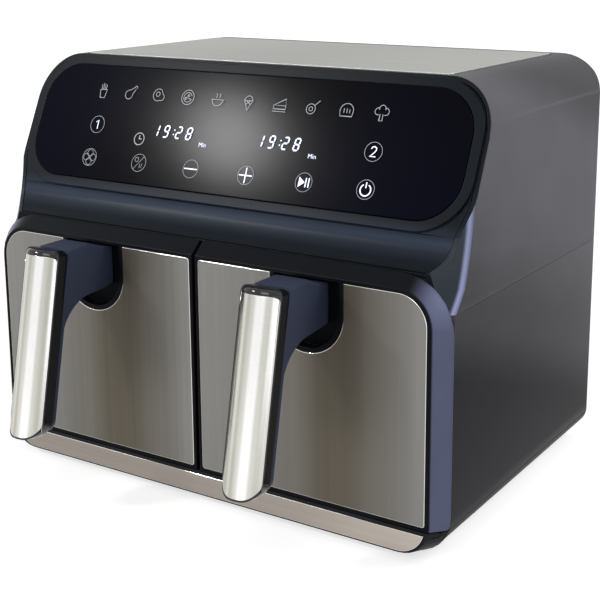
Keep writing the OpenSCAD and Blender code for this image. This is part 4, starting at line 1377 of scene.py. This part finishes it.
def lamp(name, place, target, watts, width, tint=(1.0, 1.0, 1.0), shape="SQUARE"):
    """Area lamp that faces a point."""
    data = bpy.data.lights.new(name, "AREA")
    data.shape = shape
    data.size = width
    data.energy = watts
    data.color = tint
    made = bpy.data.objects.new(name, data)
    made.location = place
    made.rotation_euler = (Vector(target) - Vector(place)).to_track_quat("-Z", "Y").to_euler()
    bpy.context.scene.collection.objects.link(made)


class FRYER_OT_stage(bpy.types.Operator):
    """Camera, pale floor, room light and lamps"""

    bl_idname = "fryer.stage"
    bl_label = "Stage"

    def execute(self, context):
        stage = context.scene.fryer_stage
        self.camera(context, stage)
        self.floor()
        self.room(context, stage)
        middle = (CAD_BOX[0] + CAD_BOX[1]) / 2
        for name, watts, place, width, tint in LAMPS:
            lamp(name, place, middle, getattr(stage, watts), width, tint)
        plane = glass_plane()
        glass = plane @ GLOW
        out = (plane.to_3x3() @ Vector((0.0, 0.0, 1.0))).normalized()
        sight = (Vector(stage.place) - glass).normalized()
        mirrored = 2 * out.dot(sight) * out - sight
        place = glass + mirrored * GLOW_AWAY
        lamp("glass_lamp", place, glass, stage.spot, GLOW_WIDTH, shape="DISK")
        return {"FINISHED"}

    def camera(self, context, stage):
        data = bpy.data.cameras.new("camera")
        data.sensor_width = 36.0
        data.lens = stage.lens
        data.shift_x, data.shift_y = stage.shift
        data.clip_end = 100.0
        made = bpy.data.objects.new("camera", data)
        made.location = stage.place
        turn = Euler((math.pi / 2 - stage.tilt, 0.0, stage.turn)).to_matrix()
        turn = turn @ Matrix.Rotation(stage.roll, 3, "Z")
        made.rotation_euler = turn.to_euler()
        context.scene.collection.objects.link(made)
        context.scene.camera = made

    def floor(self):
        paint = Paint("pale_floor", Specular_IOR_Level=0.0)
        cloud = paint.noise(even(0.6), detail=1.0)
        paint.surface(even(0.5), (cloud, 0.99, 1.01), (cloud, 0.85, 0.95))
        paint.set(paint.shader, "Emission Color", even(1.0))
        reach = paint.calculated("LENGTH", paint.coordinates(), kind="VectorMath")
        level = paint.spread(reach, *FLOOR_LEVELS, FLOOR_FADE)
        paint.to("Emission Strength", paint.spread(seen_rays(paint.tree), 0.0, level, (0.0, 1.0)))
        shape = bmesh.new()
        bmesh.ops.create_circle(shape, cap_ends=True, radius=FLOOR_RADIUS, segments=64)
        linked("floor", shape, [paint.material])

    def room(self, context, stage):
        world = bpy.data.worlds.new("room")
        context.scene.world = world
        world.use_nodes = True
        tree = world.node_tree
        sky = tree.nodes["Background"]
        sky.inputs["Color"].default_value = (1.0, 1.0, 1.0, 1.0)
        level = tree.nodes.new("ShaderNodeMapRange")
        level.inputs["To Min"].default_value = stage.room
        level.inputs["To Max"].default_value = 1.0
        tree.links.new(seen_rays(tree), level.inputs["Value"])
        tree.links.new(level.outputs["Result"], sky.inputs["Strength"])


def seen_rays(tree):
    """One for rays that show a surface directly, in a mirror or through glass, else zero."""
    path = tree.nodes.new("ShaderNodeLightPath")
    total = path.outputs["Is Camera Ray"]
    for name in ("Is Glossy Ray", "Is Transmission Ray"):
        either = tree.nodes.new("ShaderNodeMath")
        either.operation = "MAXIMUM"
        tree.links.new(total, either.inputs[0])
        tree.links.new(path.outputs[name], either.inputs[1])
        total = either.outputs["Value"]
    return total


# ---- Panel and registration ----

OPERATORS = (
    FRYER_OT_stage, FRYER_OT_shells, FRYER_OT_fascia, FRYER_OT_top_plate, FRYER_OT_rear,
    FRYER_OT_strip, FRYER_OT_dim_signs, FRYER_OT_lit_signs, FRYER_OT_drawer_fronts,
    FRYER_OT_steel_panels, FRYER_OT_handles, FRYER_OT_baskets, FRYER_OT_works,
)


GROUPS = {"fryer_colours": FryerColours, "fryer_sizes": FryerSizes, "fryer_stage": FryerStage}


class FRYER_PT_sidebar(bpy.types.Panel):
    """Lists the air fryer's pieces in the sidebar"""

    bl_idname = "FRYER_PT_sidebar"
    bl_label = "Air fryer"
    bl_space_type = "VIEW_3D"
    bl_region_type = "UI"
    bl_category = "Air fryer"

    def draw(self, context):
        for operator in OPERATORS:
            self.layout.operator(operator.bl_idname)
        for name in GROUPS:
            group = getattr(context.scene, name)
            box = self.layout.box()
            for setting in group.bl_rna.properties.keys():
                if setting not in ("rna_type", "name"):
                    box.prop(group, setting)


def register():
    for group in GROUPS.values():
        bpy.utils.register_class(group)
    for name, group in GROUPS.items():
        setattr(bpy.types.Scene, name, PointerProperty(type=group))
    for kind in (*OPERATORS, FRYER_PT_sidebar):
        bpy.utils.register_class(kind)


def unregister():
    for kind in reversed((*OPERATORS, FRYER_PT_sidebar)):
        bpy.utils.unregister_class(kind)
    for name in GROUPS:
        delattr(bpy.types.Scene, name)
    for group in reversed(list(GROUPS.values())):
        bpy.utils.unregister_class(group)


def main():
    register()
    bpy.context.scene.view_settings.view_transform = "Standard"
    for operator in OPERATORS:
        group, call = operator.bl_idname.split(".")
        getattr(getattr(bpy.ops, group), call)()


if __name__ == "__main__":
    main()
